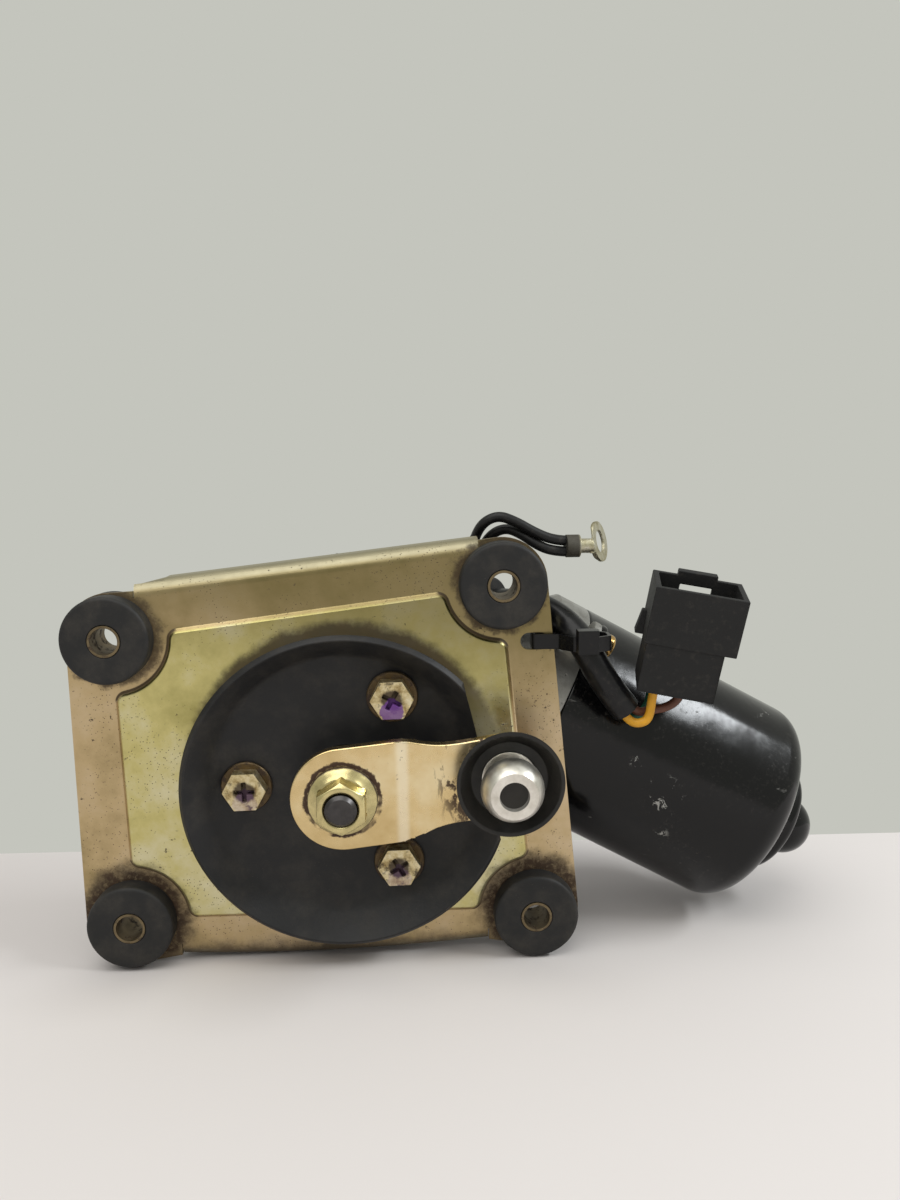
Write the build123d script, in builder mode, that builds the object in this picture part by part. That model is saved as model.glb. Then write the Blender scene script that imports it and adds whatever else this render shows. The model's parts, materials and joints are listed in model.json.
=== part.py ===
from build123d import *
import os
from math import atan, atan2, ceil, cos, degrees, pi, radians, sin, sqrt, tan

# Windscreen wiper motor on a pressed mounting plate, in millimetres.
# The frame sits where the crank's axis meets the front faces of the rubber grommets:
# X runs along the plate, Y goes back through it to the gear, Z is up.

# ---- mounting plate ---------------------------------------------------------
PLATE_FRONT = 6.0            # front of the flat rim behind the grommet faces
PLATE_T = 1.4                # sheet thickness
PANEL_RISE = 1.3             # height of the pressed panel
PANEL_DRAFT = 40.0           # slope of its pressed sides
PANEL_CORNER = 3.0           # corners between its sides and the grommet pads
PAD_RADIUS = 14.8            # flat pad round each grommet
GROMMET_XZ = {"upper_left": (-60.5, 40.0), "upper_right": (42.4, 52.0),
              "lower_right": (50.6, -39.2), "lower_left": (-59.2, -38.5)}
EAR_RADIUS = {"upper_left": 11.7, "upper_right": 12.2,
              "lower_right": 12.3, "lower_left": 13.2}
FLANGE_DEPTH = 8.0           # bent edges, measured back from the rim's front
FLANGE_BEND = 4.0            # outer bend radius
TOP_EDGE = ((-54.0, 54.3), (36.3, 64.0))
BOTTOM_EDGE = ((-47.0, -50.5), (-5.0, -51.2), (38.0, -49.0))
SLOT_XZ = (51.0, 36.3)       # slot for the cable tie
SLOT_LENGTH = 7.5
SLOT_WIDTH = 4.5
CENTRE_HOLE = 20.0           # diameter round the gear housing's nose

# ---- grommets and sleeves ---------------------------------------------------
GROMMET_D = 23.0
GROMMET_NECK_D = 14.0
GROMMET_REAR = 12.7          # rear face of the rubber, and of the sleeve
GROMMET_EDGE = 1.2           # rounded rims
SLEEVE_BORE = 7.0
SLEEVE_WALL = 0.7
FIT = 0.05                   # radial clearance of a snug fit

# ---- three screws through plate and seal ------------------------------------
SCREW_CIRCLE_R = 26.4
SCREW_START = 61.0           # angle of the first, degrees from +X towards +Z
SCREW_COUNT = 3
SCREW_D = 6.0
SCREW_AF = 10.0
SCREW_HEAD = 4.2
SCREW_GRIP = 16.0            # shank length under the head
RECESS_SPAN = 5.4
RECESS_SLOT = 1.2
RECESS_DEPTH = 2.2
WASHER_D = 13.6
WASHER_T = 1.2
HOLE_CLEARANCE = 0.3         # radial, screw in plate and seal

# ---- bulkhead seal ----------------------------------------------------------
SEAL_T = 1.7
SEAL_FLAT_R = 33.6
SEAL_RIM_R = 42.0
SEAL_RIM_Y = -4.0            # front of the flared rim
SEAL_CUT = 36.9              # distance of the flat side from the shaft
SEAL_CUT_ANGLE = 12.0

# ---- crank arm, ball stud and nut -------------------------------------------
CRANK_RADIUS = 42.5
CRANK_ANGLE = 6.0            # of the ball above +X at rest
ARM_T = 3.2
HUB_FRONT = -11.2
HUB_R = 13.4
ARM_FRONT = -10.0            # the arm's outer part is set back from its hub
ARM_HALF = 11.0
TIP_R = 10.9
JOGGLE_IN = 13.5             # the step back lies between these distances
JOGGLE_OUT = 18.0
WAIST_OUT = 24.0             # where the sides become parallel
BALL_R = 7.85
BALL_Y = -19.5
BALL_FLAT_Y = -24.8
BALL_RECESS_R = 3.6
BALL_NECK_R = 4.4
STUD_COLLAR_R = 7.0
STUD_COLLAR_T = 1.6
STUD_SHANK_R = 4.0
RIVET_R = 5.4
RIVET_T = 1.0
BOOT_LIP_R = 13.7
BOOT_BASE_R = 11.6
BOOT_LIP_Y = -16.2
BOOT_T = 1.1
NUT_AF = 12.0
NUT_FLANGE_R = 8.9
NUT_FLANGE_T = 1.2
NUT_FRONT = -18.6
THREAD_R = 4.0               # M8 end of the output shaft
SHAFT_FRONT = -19.7

# ---- output shaft and worm gear ---------------------------------------------
SHAFT_R = 5.0
GEAR_Y = 39.0                # middle plane of wheel and worm
MODULE = 1.0
TEETH = 62
WORM_PITCH_R = 6.25
PRESSURE_ANGLE = 20.0
TOOTH_GAP = 0.24             # backlash along the pitch line
ROOT_CLEARANCE = 0.25
WHEEL_FACE = 10.0
WHEEL_RIM_IN = 26.5
WHEEL_WEB_T = 3.2
WHEEL_HUB_R = 10.0
WHEEL_RIBS = 8
WHEEL_RIB_T = 2.0
WORM_TURNS = 8
CAM_IN = 13.0
CAM_OUT = 23.0
CAM_T = 0.8
CAM_GAP_ANGLE = 200.0        # one gap in its outer half stops the motor at rest
CAM_GAP_DEPTH = 5.0
CAM_GAP_WIDTH = 9.0
CUT_OVER = 1.0               # a cut runs this far past the face it opens

# ---- motor ------------------------------------------------------------------
MOTOR_SLOPE = 28.94          # the motor points this far below +X
CAN_R = 31.1
CAN_WALL = 2.0
CAN_STANDOFF = 12.4          # of the can's mouth beyond its own radius, from the worm's middle
CAN_END = 118.5              # flat end inside the rounded shoulder, from the worm's middle
SHOULDER_R = 7.5
END_RING_R = 17.0            # raised ring on the end
END_RING_T = 8.5
END_RING_EDGE = 2.5
END_BOSS_R = 9.0             # domed bearing pocket
END_BOSS_T = 12.0            # to where its dome starts
CAN_LIP_T = 1.8
EAR_R = 5.0
EAR_T = 2.4                  # of the gear housing's own ears behind the can
CAN_SCREW_OUT = 4.0          # two long screws outside the can's wall
CAN_SCREW_ANGLE = 132.7
CAN_SCREW_D = 5.0
CAN_SCREW_HEAD_R = 3.75
CAN_SCREW_HEAD = 3.6
ARMATURE_SHAFT_R = 4.0
AIR_GAP = 0.8
MAGNET_T = 5.4
MAGNET_LEAD = 18.5           # magnets start this far inside the can's mouth
MAGNET_TAIL = 8.5            # and stop this far short of its end
MAGNET_ARC = 132.0
CORE_CLEAR = 5.0             # the core is shorter than the magnets at both ends
CORE_SLOTS = 12
COIL_R = 20.0
COIL_OVERHANG = 7.0
COMMUTATOR_LEAD = 4.5        # from the can's mouth
COMMUTATOR_LENGTH = 11.5
COMMUTATOR_R = 11.0
COMMUTATOR_BARS = 12
BRUSH_SIZE = (6.0, 4.5)
BRUSH_LENGTH = 8.5
BRUSH_PLATE_T = 2.4
WORM_END_BUSH = (-22.0, -16.0)   # start and end, from the worm's middle
WORM_DRIVE_BUSH = (17.0, 24.0)
END_BUSH_INSET = 0.5
END_BUSH_LENGTH = 7.0
SHAFT_TAIL_OUT = 8.0         # the shaft ends this far past the can's flat end
RUNNING = 0.06               # radial clearance of shafts in their bushes

# ---- gear housing -----------------------------------------------------------
BOWL_R = 38.0
BOWL_WALL = 3.2
BOWL_FRONT = 27.5
BOWL_REAR = 51.5
LOBE_HALF = 16.0             # pocket for the park switch below the bowl
LOBE_BOTTOM = -55.0
LOBE_FRONT = 35.0
LOBE_CORNER = 6.0
NOSE_R = 9.7
NOSE_FRONT = -4.5
BUSH_WALL = 2.0
LUG_R = 7.0
TUNNEL_R = 11.5
TUNNEL_BORE = 8.0
TUNNEL_START = -31.0
TRUMPET_START = 10.0         # the tunnel widens from here to the motor's flange
TRUMPET_FLAT = 9.5           # and stays as wide as the can for this length
GASKET_T = 0.8
COVER_T = 2.0
COVER_DOME_R = 24.0
COVER_DOME = 2.6
COVER_SCREW_R = 35.6
COVER_SCREW_D = 4.0
COVER_SCREW_ANGLES = (106.0, 160.0, 214.0, 306.0, 334.0)
COVER_EAR_R = 5.0

# ---- harness, connector and earth lead --------------------------------------
SHEATH_D = 8.0
SHEATH_ROUTE = ((42.0, 26.6, 43.6), (49.6, 19.9, 44.8), (57.6, 13.2, 42.4),
                (63.6, 5.0, 36.4), (67.6, 3.2, 28.2), (71.5, 3.3, 22.2), (75.2, 3.9, 17.4))
HARNESS_BOSS_R = 8.0
HARNESS_BOSS_LENGTH = 11.0
HARNESS_GROMMET_R = 6.2
HARNESS_GROMMET_LIP = 2.0
WIRE_D = 2.4
WIRE_LEAVE = 2.6             # straight ends at the sheath and at the connector
WIRE_ENTER = 2.8
CONNECTOR_ORIGIN = (76.2, -1.3, 23.9)
CONNECTOR_TURN = 8.25        # clockwise, seen from the front
CONNECTOR_TIP = 10.9         # towards the viewer
CONNECTOR_YAW = -9.2         # about its own upright line, so that it faces a little left
CONNECTOR_WIDTH = 23.6
CONNECTOR_NECK = 19.9
CONNECTOR_NECK_X = 0.7
CONNECTOR_DEPTH = 15.6
CONNECTOR_HEIGHT = 29.0
CONNECTOR_STEP = 13.5
CONNECTOR_WALL = 1.5
CONNECTOR_FLOOR = 15.5
CONNECTOR_SHROUD_DROP = 5.5  # shroud tops below the rim
BLADE_WIDTH = 6.3
BLADE_T = 0.8
BLADE_DEPTH = 4.0            # the blades end level with their shrouds
EARTH_D = 2.8
EARTH_A_ROUTE = ((19.2, 39.0, 47.165), (22.6, 39.0, 53.25), (27.0, 34.0, 58.0),
                 (35.6, 22.8, 60.2), (37.7, 17.4, 66.8), (42.3, 16.2, 69.3),
                 (47.0, 15.8, 67.6), (52.4, 15.6, 64.4), (57.3, 15.76, 62.3), (60.78, 16.2, 62.0))
EARTH_B_ROUTE = ((22.9, 39.0, 45.11), (26.3, 39.0, 51.25), (30.4, 35.0, 55.4),
                 (37.8, 24.8, 58.2), (40.6, 20.0, 63.8), (44.9, 19.3, 65.6),
                 (48.8, 17.6, 64.0), (53.0, 15.9, 61.0), (57.1, 15.76, 59.3), (60.76, 16.2, 59.0))
EARTH_GROMMET_R = 4.6
EARTH_GROMMET_T = 1.2
CRIMP_END = (60.9, 16.2, 60.5)
CRIMP_LENGTH = 3.8
CRIMP_R = 3.1
BARREL_END = (68.5, 16.7, 60.4)
BARREL_R = 2.0
RING_R = 5.7
RING_HOLE_R = 3.2
RING_T = 0.9
RING_YAW = 62.0              # how far the ring is turned edge-on
TIE_T = 1.0
TIE_WIDTH = 4.1

# ---- worked out -------------------------------------------------------------
PANEL_FRONT = PLATE_FRONT - PANEL_RISE
PLATE_REAR = PLATE_FRONT + PLATE_T
PANEL_REAR = PANEL_FRONT + PLATE_T
SEAL_FRONT = PANEL_FRONT - SEAL_T
WHEEL_PITCH_R = TEETH * MODULE / 2
CENTRE_DISTANCE = WHEEL_PITCH_R + WORM_PITCH_R
LEAD = pi * MODULE
WORM_LENGTH = WORM_TURNS * LEAD
LEAD_ANGLE = degrees(atan(MODULE / (2 * WORM_PITCH_R)))
WHEEL_FRONT = GEAR_Y - WHEEL_FACE / 2
WHEEL_BACK = GEAR_Y + WHEEL_FACE / 2
COVER_FRONT = BOWL_REAR + GASKET_T
COVER_BACK = COVER_FRONT + COVER_T
CAVITY_FRONT = BOWL_FRONT + BOWL_WALL
CAVITY_R = BOWL_R - BOWL_WALL
CAN_START = CAN_R + CAN_STANDOFF
CAN_SCREW_R = CAN_R + CAN_SCREW_OUT
TRUMPET_END = CAN_START - TRUMPET_FLAT
MAGNET_START = CAN_START + MAGNET_LEAD
MAGNET_END = CAN_END - MAGNET_TAIL
MAGNET_OUT = CAN_R - CAN_WALL
MAGNET_IN = MAGNET_OUT - MAGNET_T
CORE_START = MAGNET_START + CORE_CLEAR
CORE_LENGTH = MAGNET_END - CORE_CLEAR - CORE_START
COMMUTATOR_START = CAN_START + COMMUTATOR_LEAD
CORE_R = MAGNET_IN - AIR_GAP
BUSH_R = SHAFT_R + RUNNING + BUSH_WALL
CRANK_DIR = (cos(radians(CRANK_ANGLE)), 0, sin(radians(CRANK_ANGLE)))
BALL_X = CRANK_RADIUS * CRANK_DIR[0]
BALL_Z = CRANK_RADIUS * CRANK_DIR[2]
SLOPE = radians(MOTOR_SLOPE)
MOTOR_DIR = Vector(cos(SLOPE), 0, -sin(SLOPE))
MOTOR_UP = Vector(sin(SLOPE), 0, cos(SLOPE))
MOTOR_FOOT = MOTOR_UP * CENTRE_DISTANCE + Vector(0, GEAR_Y, 0)
MOTOR_AXIS = Axis(MOTOR_FOOT, MOTOR_DIR)
MOTOR_PLANE = Plane(origin=MOTOR_FOOT, x_dir=MOTOR_DIR, z_dir=(0, -1, 0))


def facing(y):
    """The upright plane at depth y, seen from the front: x right, z up."""
    return Plane.XZ.offset(-y)


def across_motor(distance):
    """The plane across the motor's axis: local x goes back, local y goes up."""
    return Plane(origin=MOTOR_FOOT + MOTOR_DIR * distance, x_dir=(0, 1, 0), z_dir=MOTOR_DIR)


def upright(x, z):
    """A plane through the front-to-back line at (x, z), for profiles revolved about it."""
    return Plane(origin=(x, 0, z), x_dir=(1, 0, 0), z_dir=(0, 0, 1))


def front_to_back(x, z):
    return Axis((x, 0, z), (0, 1, 0))


def save(piece, name):
    piece.part.label = name
    export_step(piece.part, f"parts/{name}.step")


def corner_radii(route):
    """The largest even arc at each corner of a cord's route."""
    points = [Vector(*point) for point in route]
    runs = [b - a for a, b in zip(points, points[1:])]
    radii = []
    for run, following in zip(runs, runs[1:]):
        half_turn = radians(run.get_angle(following)) / 2
        radii.append(0.45 * min(run.length, following.length) / tan(half_turn))
    return radii


def make_cord(name, route, diameter):
    radii = corner_radii(route)
    start = Vector(*route[0])
    with BuildPart() as cord:
        with BuildLine() as path:
            FilletPolyline(*route, radius=radii)
        with BuildSketch(Plane(origin=start, z_dir=Vector(*route[1]) - start)):
            Circle(diameter / 2)
        sweep(path=path.wires()[0])
    length = path.wires()[0].length
    section = pi * diameter ** 2 / 4
    print(name, "length", round(length, 1), "radii", [round(r, 1) for r in radii],
          "volume ratio", round(cord.part.volume / (section * length), 4))
    save(cord, name)


def ring(name, plane, axis, inner, outer, start, end):
    """A plain round sleeve between two places along its axis."""
    with BuildPart() as sleeve:
        with BuildSketch(plane):
            with BuildLine():
                Polyline((inner, start), (outer, start), (outer, end), (inner, end), close=True)
            make_face()
        revolve(axis=axis)
    save(sleeve, name)


os.makedirs("parts", exist_ok=True)

# ---- mounting plate ---------------------------------------------------------
corners = list(GROMMET_XZ.values())


def beyond(edge, first, last, inset):
    """The region beyond an edge line, between two places along the plate."""
    way = 1 if edge[0][1] > 0 else -1
    middle = edge[len(edge) // 2]
    slope = (edge[-1][1] - edge[0][1]) / (edge[-1][0] - edge[0][0])
    start = (first, edge[0][1] + (first - edge[0][0]) * slope - way * inset)
    end = (last, edge[-1][1] + (last - edge[-1][0]) * slope - way * inset)
    far = way * (abs(edge[-1][1]) + GROMMET_D)
    with BuildSketch() as region:
        with BuildLine():
            if len(edge) == 2:
                Line(start, end)
            else:
                ThreePointArc(start, (middle[0], middle[1] - way * inset), end)
            Polyline(end, (last, far), (first, far), start)
        make_face()
    return region.sketch


def bent_edge(path, upwards):
    """The flange that turns back from the rim along its edge line."""
    start = path @ 0
    along = path % 0
    out = Vector(0, 0, 1) if upwards else Vector(0, 0, -1)
    frame = Plane(origin=start, x_dir=out - along * out.dot(along), z_dir=along)
    back = 1 if frame.y_dir.Y > 0 else -1
    front = back * PLATE_FRONT
    root = back * (PLATE_FRONT + FLANGE_BEND)
    tail = back * (PLATE_FRONT + FLANGE_DEPTH)
    inner = FLANGE_BEND - PLATE_T
    with BuildSketch(frame) as profile:
        with BuildLine():
            outer_arc = RadiusArc((-FLANGE_BEND, front), (0, root), -back * FLANGE_BEND)
            Line((0, root), (0, tail))
            Line((0, tail), (-PLATE_T, tail))
            Line((-PLATE_T, tail), (-PLATE_T, root))
            RadiusArc((-PLATE_T, root), (-FLANGE_BEND, root - back * inner), back * inner)
            Line((-FLANGE_BEND, root - back * inner), outer_arc @ 0)
        make_face()
    return sweep(profile.sketch, path=path)


top_path = Line((TOP_EDGE[0][0], 0, TOP_EDGE[0][1]), (TOP_EDGE[1][0], 0, TOP_EDGE[1][1]))
bottom_path = ThreePointArc(*[(x, 0, z) for x, z in BOTTOM_EDGE])
top_flange = bent_edge(top_path, True)
bottom_flange = bent_edge(bottom_path, False)

top_waste = beyond(TOP_EDGE, GROMMET_XZ["upper_left"][0], GROMMET_XZ["upper_right"][0], 0)
bottom_waste = beyond(BOTTOM_EDGE, GROMMET_XZ["lower_left"][0], GROMMET_XZ["lower_right"][0], 0)
top_bend = beyond(TOP_EDGE, TOP_EDGE[0][0], TOP_EDGE[-1][0], FLANGE_BEND)
bottom_bend = beyond(BOTTOM_EDGE, BOTTOM_EDGE[0][0], BOTTOM_EDGE[-1][0], FLANGE_BEND)

with BuildPart() as mounting_plate:
    with BuildSketch(facing(PLATE_REAR)):
        for corner, (x, z) in GROMMET_XZ.items():
            with Locations((x, z)):
                Circle(EAR_RADIUS[corner])
        make_hull()
        add(top_waste, mode=Mode.SUBTRACT)
        add(bottom_waste, mode=Mode.SUBTRACT)
        for corner, (x, z) in GROMMET_XZ.items():
            with Locations((x, z)):
                Circle(EAR_RADIUS[corner])
        add(top_bend, mode=Mode.SUBTRACT)
        add(bottom_bend, mode=Mode.SUBTRACT)
    extrude(amount=PLATE_T)
    with BuildSketch(facing(PLATE_FRONT)):
        with BuildLine():
            Polyline(*corners, close=True)
        make_face()
        with Locations(*corners):
            Circle(PAD_RADIUS, mode=Mode.SUBTRACT)
        fillet(vertices(), PANEL_CORNER)
    extrude(amount=PANEL_RISE, taper=PANEL_DRAFT)
    with BuildSketch(facing(PLATE_REAR)):
        with BuildLine():
            Polyline(*corners, close=True)
        make_face()
        with Locations(*corners):
            Circle(PAD_RADIUS, mode=Mode.SUBTRACT)
        fillet(vertices(), PANEL_CORNER)
        offset(amount=-PLATE_T / 2, kind=Kind.INTERSECTION)
    extrude(amount=PANEL_RISE, taper=PANEL_DRAFT, mode=Mode.SUBTRACT)
    add(top_flange)
    add(bottom_flange)
    with BuildSketch(facing(PANEL_FRONT)):
        Circle(CENTRE_HOLE / 2)
        with PolarLocations(SCREW_CIRCLE_R, SCREW_COUNT, start_angle=SCREW_START):
            Circle(SCREW_D / 2 + HOLE_CLEARANCE)
        with Locations(*corners):
            Circle(GROMMET_NECK_D / 2)
        with Locations(SLOT_XZ):
            SlotOverall(SLOT_LENGTH, SLOT_WIDTH)
    extrude(amount=-PANEL_RISE - 2 * PLATE_T, mode=Mode.SUBTRACT)
    with BuildSketch(facing(PLATE_REAR)):
        with Locations(*corners):
            Circle(GROMMET_D / 2 + HOLE_CLEARANCE)
    extrude(amount=-FLANGE_DEPTH, mode=Mode.SUBTRACT)
save(mounting_plate, "mounting_plate")


# ---- grommets and their sleeves ---------------------------------------------
def make_grommet(corner, x, z):
    bore = SLEEVE_BORE / 2 + SLEEVE_WALL + FIT
    neck = GROMMET_NECK_D / 2 - FIT
    with BuildPart() as grommet:
        with BuildSketch(upright(x, z)):
            with BuildLine():
                Polyline((bore, 0), (GROMMET_D / 2, 0), (GROMMET_D / 2, PLATE_FRONT),
                         (neck, PLATE_FRONT), (neck, PLATE_REAR), (GROMMET_D / 2, PLATE_REAR),
                         (GROMMET_D / 2, GROMMET_REAR), (bore, GROMMET_REAR), close=True)
            make_face()
            rims = vertices().filter_by_position(Axis.X, x + GROMMET_D / 2 - 0.1, x + GROMMET_D)
            fillet(rims.sort_by(Axis.Y)[0::3], GROMMET_EDGE)
        revolve(axis=front_to_back(x, z))
    save(grommet, f"grommet_{corner}")
    ring(f"sleeve_{corner}", upright(x, z), front_to_back(x, z),
         SLEEVE_BORE / 2, SLEEVE_BORE / 2 + SLEEVE_WALL, 0, GROMMET_REAR)


for corner, (x, z) in GROMMET_XZ.items():
    make_grommet(corner, x, z)

# ---- bulkhead seal ----------------------------------------------------------
flare = (SEAL_FRONT - SEAL_RIM_Y) / (SEAL_RIM_R - SEAL_FLAT_R)
with BuildPart() as seal_disc:
    with BuildSketch(Plane.XY):
        with BuildLine():
            Polyline((NOSE_R + HOLE_CLEARANCE, SEAL_FRONT), (SEAL_FLAT_R, SEAL_FRONT),
                     (SEAL_RIM_R, SEAL_RIM_Y), (SEAL_RIM_R + SEAL_T * flare, SEAL_RIM_Y + SEAL_T),
                     (SEAL_FLAT_R + SEAL_T * flare / 2, PANEL_FRONT),
                     (NOSE_R + HOLE_CLEARANCE, PANEL_FRONT), close=True)
        make_face()
    revolve(axis=Axis.Y)
    with BuildSketch(facing(PANEL_FRONT)):
        with PolarLocations(SCREW_CIRCLE_R, SCREW_COUNT, start_angle=SCREW_START):
            Circle(SCREW_D / 2 + HOLE_CLEARANCE)
    extrude(amount=2 * SEAL_T, both=True, mode=Mode.SUBTRACT)
    with BuildSketch(facing(PANEL_FRONT)):
        with PolarLocations(SEAL_CUT + SEAL_RIM_R / 2, 1, start_angle=SEAL_CUT_ANGLE):
            Rectangle(SEAL_RIM_R, 2 * SEAL_RIM_R)
    extrude(amount=SEAL_RIM_R / 2, both=True, mode=Mode.SUBTRACT)
save(seal_disc, "seal_disc")

# ---- plate screws and washers -----------------------------------------------
WASHER_FRONT = SEAL_FRONT - WASHER_T
SCREW_END = WASHER_FRONT + SCREW_GRIP
with BuildPart() as screw_washers:
    with BuildSketch(facing(SEAL_FRONT)):
        with PolarLocations(SCREW_CIRCLE_R, SCREW_COUNT, start_angle=SCREW_START):
            Circle(WASHER_D / 2)
            Circle(SCREW_D / 2 + FIT, mode=Mode.SUBTRACT)
    extrude(amount=WASHER_T)
    chamfer(faces().filter_by(Axis.Y).sort_by(Axis.Y)[:SCREW_COUNT].edges(), WASHER_T / 5)
save(screw_washers, "screw_washers")

with BuildPart() as plate_screws:
    with BuildSketch(facing(WASHER_FRONT)):
        with PolarLocations(SCREW_CIRCLE_R, SCREW_COUNT, start_angle=SCREW_START):
            RegularPolygon(SCREW_AF / 2, 6, major_radius=False)
    extrude(amount=SCREW_HEAD)
    with BuildSketch(facing(SCREW_END)):
        with PolarLocations(SCREW_CIRCLE_R, SCREW_COUNT, start_angle=SCREW_START):
            Circle(SCREW_D / 2)
    extrude(amount=SCREW_GRIP)
    with BuildSketch(facing(WASHER_FRONT - SCREW_HEAD)):
        with PolarLocations(SCREW_CIRCLE_R, SCREW_COUNT, start_angle=SCREW_START):
            Rectangle(RECESS_SPAN, RECESS_SLOT)
            Rectangle(RECESS_SLOT, RECESS_SPAN)
    extrude(amount=-RECESS_DEPTH, mode=Mode.SUBTRACT)
    chamfer(edges().group_by(Axis.Y)[-1], SCREW_D / 10)
save(plate_screws, "plate_screws")

# ---- crank arm --------------------------------------------------------------
ARM_PLANE = Plane(origin=(0, 0, 0), x_dir=CRANK_DIR, z_dir=(0, -1, 0))
ARM_SIDE = Plane(origin=(0, 0, 0), x_dir=CRANK_DIR, z_dir=ARM_PLANE.y_dir)


def arm_layer(depth):
    return ARM_PLANE.offset(-depth)


with BuildPart() as crank_arm:
    with BuildSketch(ARM_SIDE):
        with BuildLine():
            Polyline((-HUB_R - 1, HUB_FRONT), (JOGGLE_IN, HUB_FRONT), (JOGGLE_OUT, ARM_FRONT),
                     (CRANK_RADIUS + TIP_R + 1, ARM_FRONT),
                     (CRANK_RADIUS + TIP_R + 1, ARM_FRONT + ARM_T),
                     (JOGGLE_OUT, ARM_FRONT + ARM_T), (JOGGLE_IN, HUB_FRONT + ARM_T),
                     (-HUB_R - 1, HUB_FRONT + ARM_T), close=True)
        make_face()
    extrude(amount=HUB_R + 1, both=True)
    with BuildSketch(arm_layer(0)):
        with BuildLine():
            hub_top = Line((0, HUB_R), (JOGGLE_IN, HUB_R - 0.1))
            waist_top = Spline(hub_top @ 1, (WAIST_OUT, ARM_HALF), (CRANK_RADIUS, TIP_R),
                               tangents=[(1, -0.05), (1, 0)])
            tip = ThreePointArc((CRANK_RADIUS, TIP_R), (CRANK_RADIUS + TIP_R, 0),
                                (CRANK_RADIUS, -TIP_R))
            waist_low = Spline(tip @ 1, (WAIST_OUT, -ARM_HALF), (JOGGLE_IN, 0.1 - HUB_R),
                               tangents=[(-1, 0), (-1, -0.05)])
            Line(waist_low @ 1, (0, -HUB_R))
            ThreePointArc((0, -HUB_R), (-HUB_R, 0), (0, HUB_R))
        make_face()
        Circle(THREAD_R + FIT, mode=Mode.SUBTRACT)
        with Locations((CRANK_RADIUS, 0)):
            Circle(STUD_SHANK_R + FIT, mode=Mode.SUBTRACT)
    extrude(amount=-2 * HUB_FRONT, mode=Mode.INTERSECT)
save(crank_arm, "crank_arm")

# ---- crank nut --------------------------------------------------------------
with BuildPart() as crank_nut:
    with BuildSketch(facing(HUB_FRONT)):
        Circle(NUT_FLANGE_R)
    extrude(amount=NUT_FLANGE_T)
    with BuildSketch(facing(HUB_FRONT - NUT_FLANGE_T)):
        Circle(NUT_FLANGE_R)
    extrude(amount=(NUT_FLANGE_R - NUT_AF / 2) * 0.45, taper=60)
    with BuildSketch(facing(HUB_FRONT)):
        RegularPolygon(NUT_AF / 2, 6, major_radius=False, rotation=30)
    extrude(amount=HUB_FRONT - NUT_FRONT)
    with BuildSketch(facing(HUB_FRONT)):
        Circle(THREAD_R + FIT)
    extrude(amount=HUB_FRONT - NUT_FRONT, mode=Mode.SUBTRACT)
    bore_rim = edges().filter_by(GeomType.CIRCLE).sort_by(Axis.Y)[0]
    chamfer(bore_rim, THREAD_R / 12)
save(crank_nut, "crank_nut")

# ---- ball stud and its boot -------------------------------------------------
flat_r = sqrt(BALL_R ** 2 - (BALL_Y - BALL_FLAT_Y) ** 2)
neck_y = BALL_Y + sqrt(BALL_R ** 2 - BALL_NECK_R ** 2)
side_x = BALL_R * cos(radians(10))
side_y = BALL_Y + BALL_R * sin(radians(10))
arm_rear = ARM_FRONT + ARM_T
collar_front = ARM_FRONT - STUD_COLLAR_T
with BuildPart() as ball_stud:
    with BuildSketch(upright(BALL_X, BALL_Z)):
        with BuildLine():
            Polyline((0, BALL_FLAT_Y + 2.2), (BALL_RECESS_R, BALL_FLAT_Y + 1.6),
                     (BALL_RECESS_R, BALL_FLAT_Y), (flat_r, BALL_FLAT_Y))
            ThreePointArc((flat_r, BALL_FLAT_Y), (side_x, side_y), (BALL_NECK_R, neck_y))
            Polyline((BALL_NECK_R, neck_y), (BALL_NECK_R, collar_front),
                     (STUD_COLLAR_R, collar_front), (STUD_COLLAR_R, ARM_FRONT),
                     (STUD_SHANK_R, ARM_FRONT), (STUD_SHANK_R, arm_rear), (RIVET_R, arm_rear),
                     (RIVET_R - RIVET_T, arm_rear + RIVET_T), (0, arm_rear + RIVET_T),
                     (0, BALL_FLAT_Y + 2.2))
        make_face()
    revolve(axis=front_to_back(BALL_X, BALL_Z))
save(ball_stud, "ball_stud")

with BuildPart() as ball_boot:
    with BuildSketch(upright(BALL_X, BALL_Z)):
        with BuildLine():
            Polyline((STUD_COLLAR_R + FIT, ARM_FRONT), (BOOT_BASE_R, ARM_FRONT),
                     (BOOT_LIP_R, BOOT_LIP_Y), (BOOT_LIP_R - BOOT_T, BOOT_LIP_Y),
                     (BOOT_BASE_R - 1.6 * BOOT_T, ARM_FRONT - 1.6 * BOOT_T),
                     (STUD_COLLAR_R + FIT, ARM_FRONT - 1.6 * BOOT_T), close=True)
        make_face()
    revolve(axis=front_to_back(BALL_X, BALL_Z))
save(ball_boot, "ball_boot")

# ---- output shaft -----------------------------------------------------------
HUB_REAR = HUB_FRONT + ARM_T
SHAFT_REAR = WHEEL_BACK + 4.0
with BuildPart() as output_shaft:
    with BuildSketch(Plane.XY):
        with BuildLine():
            Polyline((0, SHAFT_FRONT), (THREAD_R * 0.8, SHAFT_FRONT),
                     (THREAD_R, SHAFT_FRONT + THREAD_R * 0.2), (THREAD_R, HUB_REAR),
                     (SHAFT_R, HUB_REAR), (SHAFT_R, SHAFT_REAR - 1), (SHAFT_R - 1, SHAFT_REAR),
                     (0, SHAFT_REAR), close=True)
        make_face()
    revolve(axis=Axis.Y)
save(output_shaft, "output_shaft")

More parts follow.
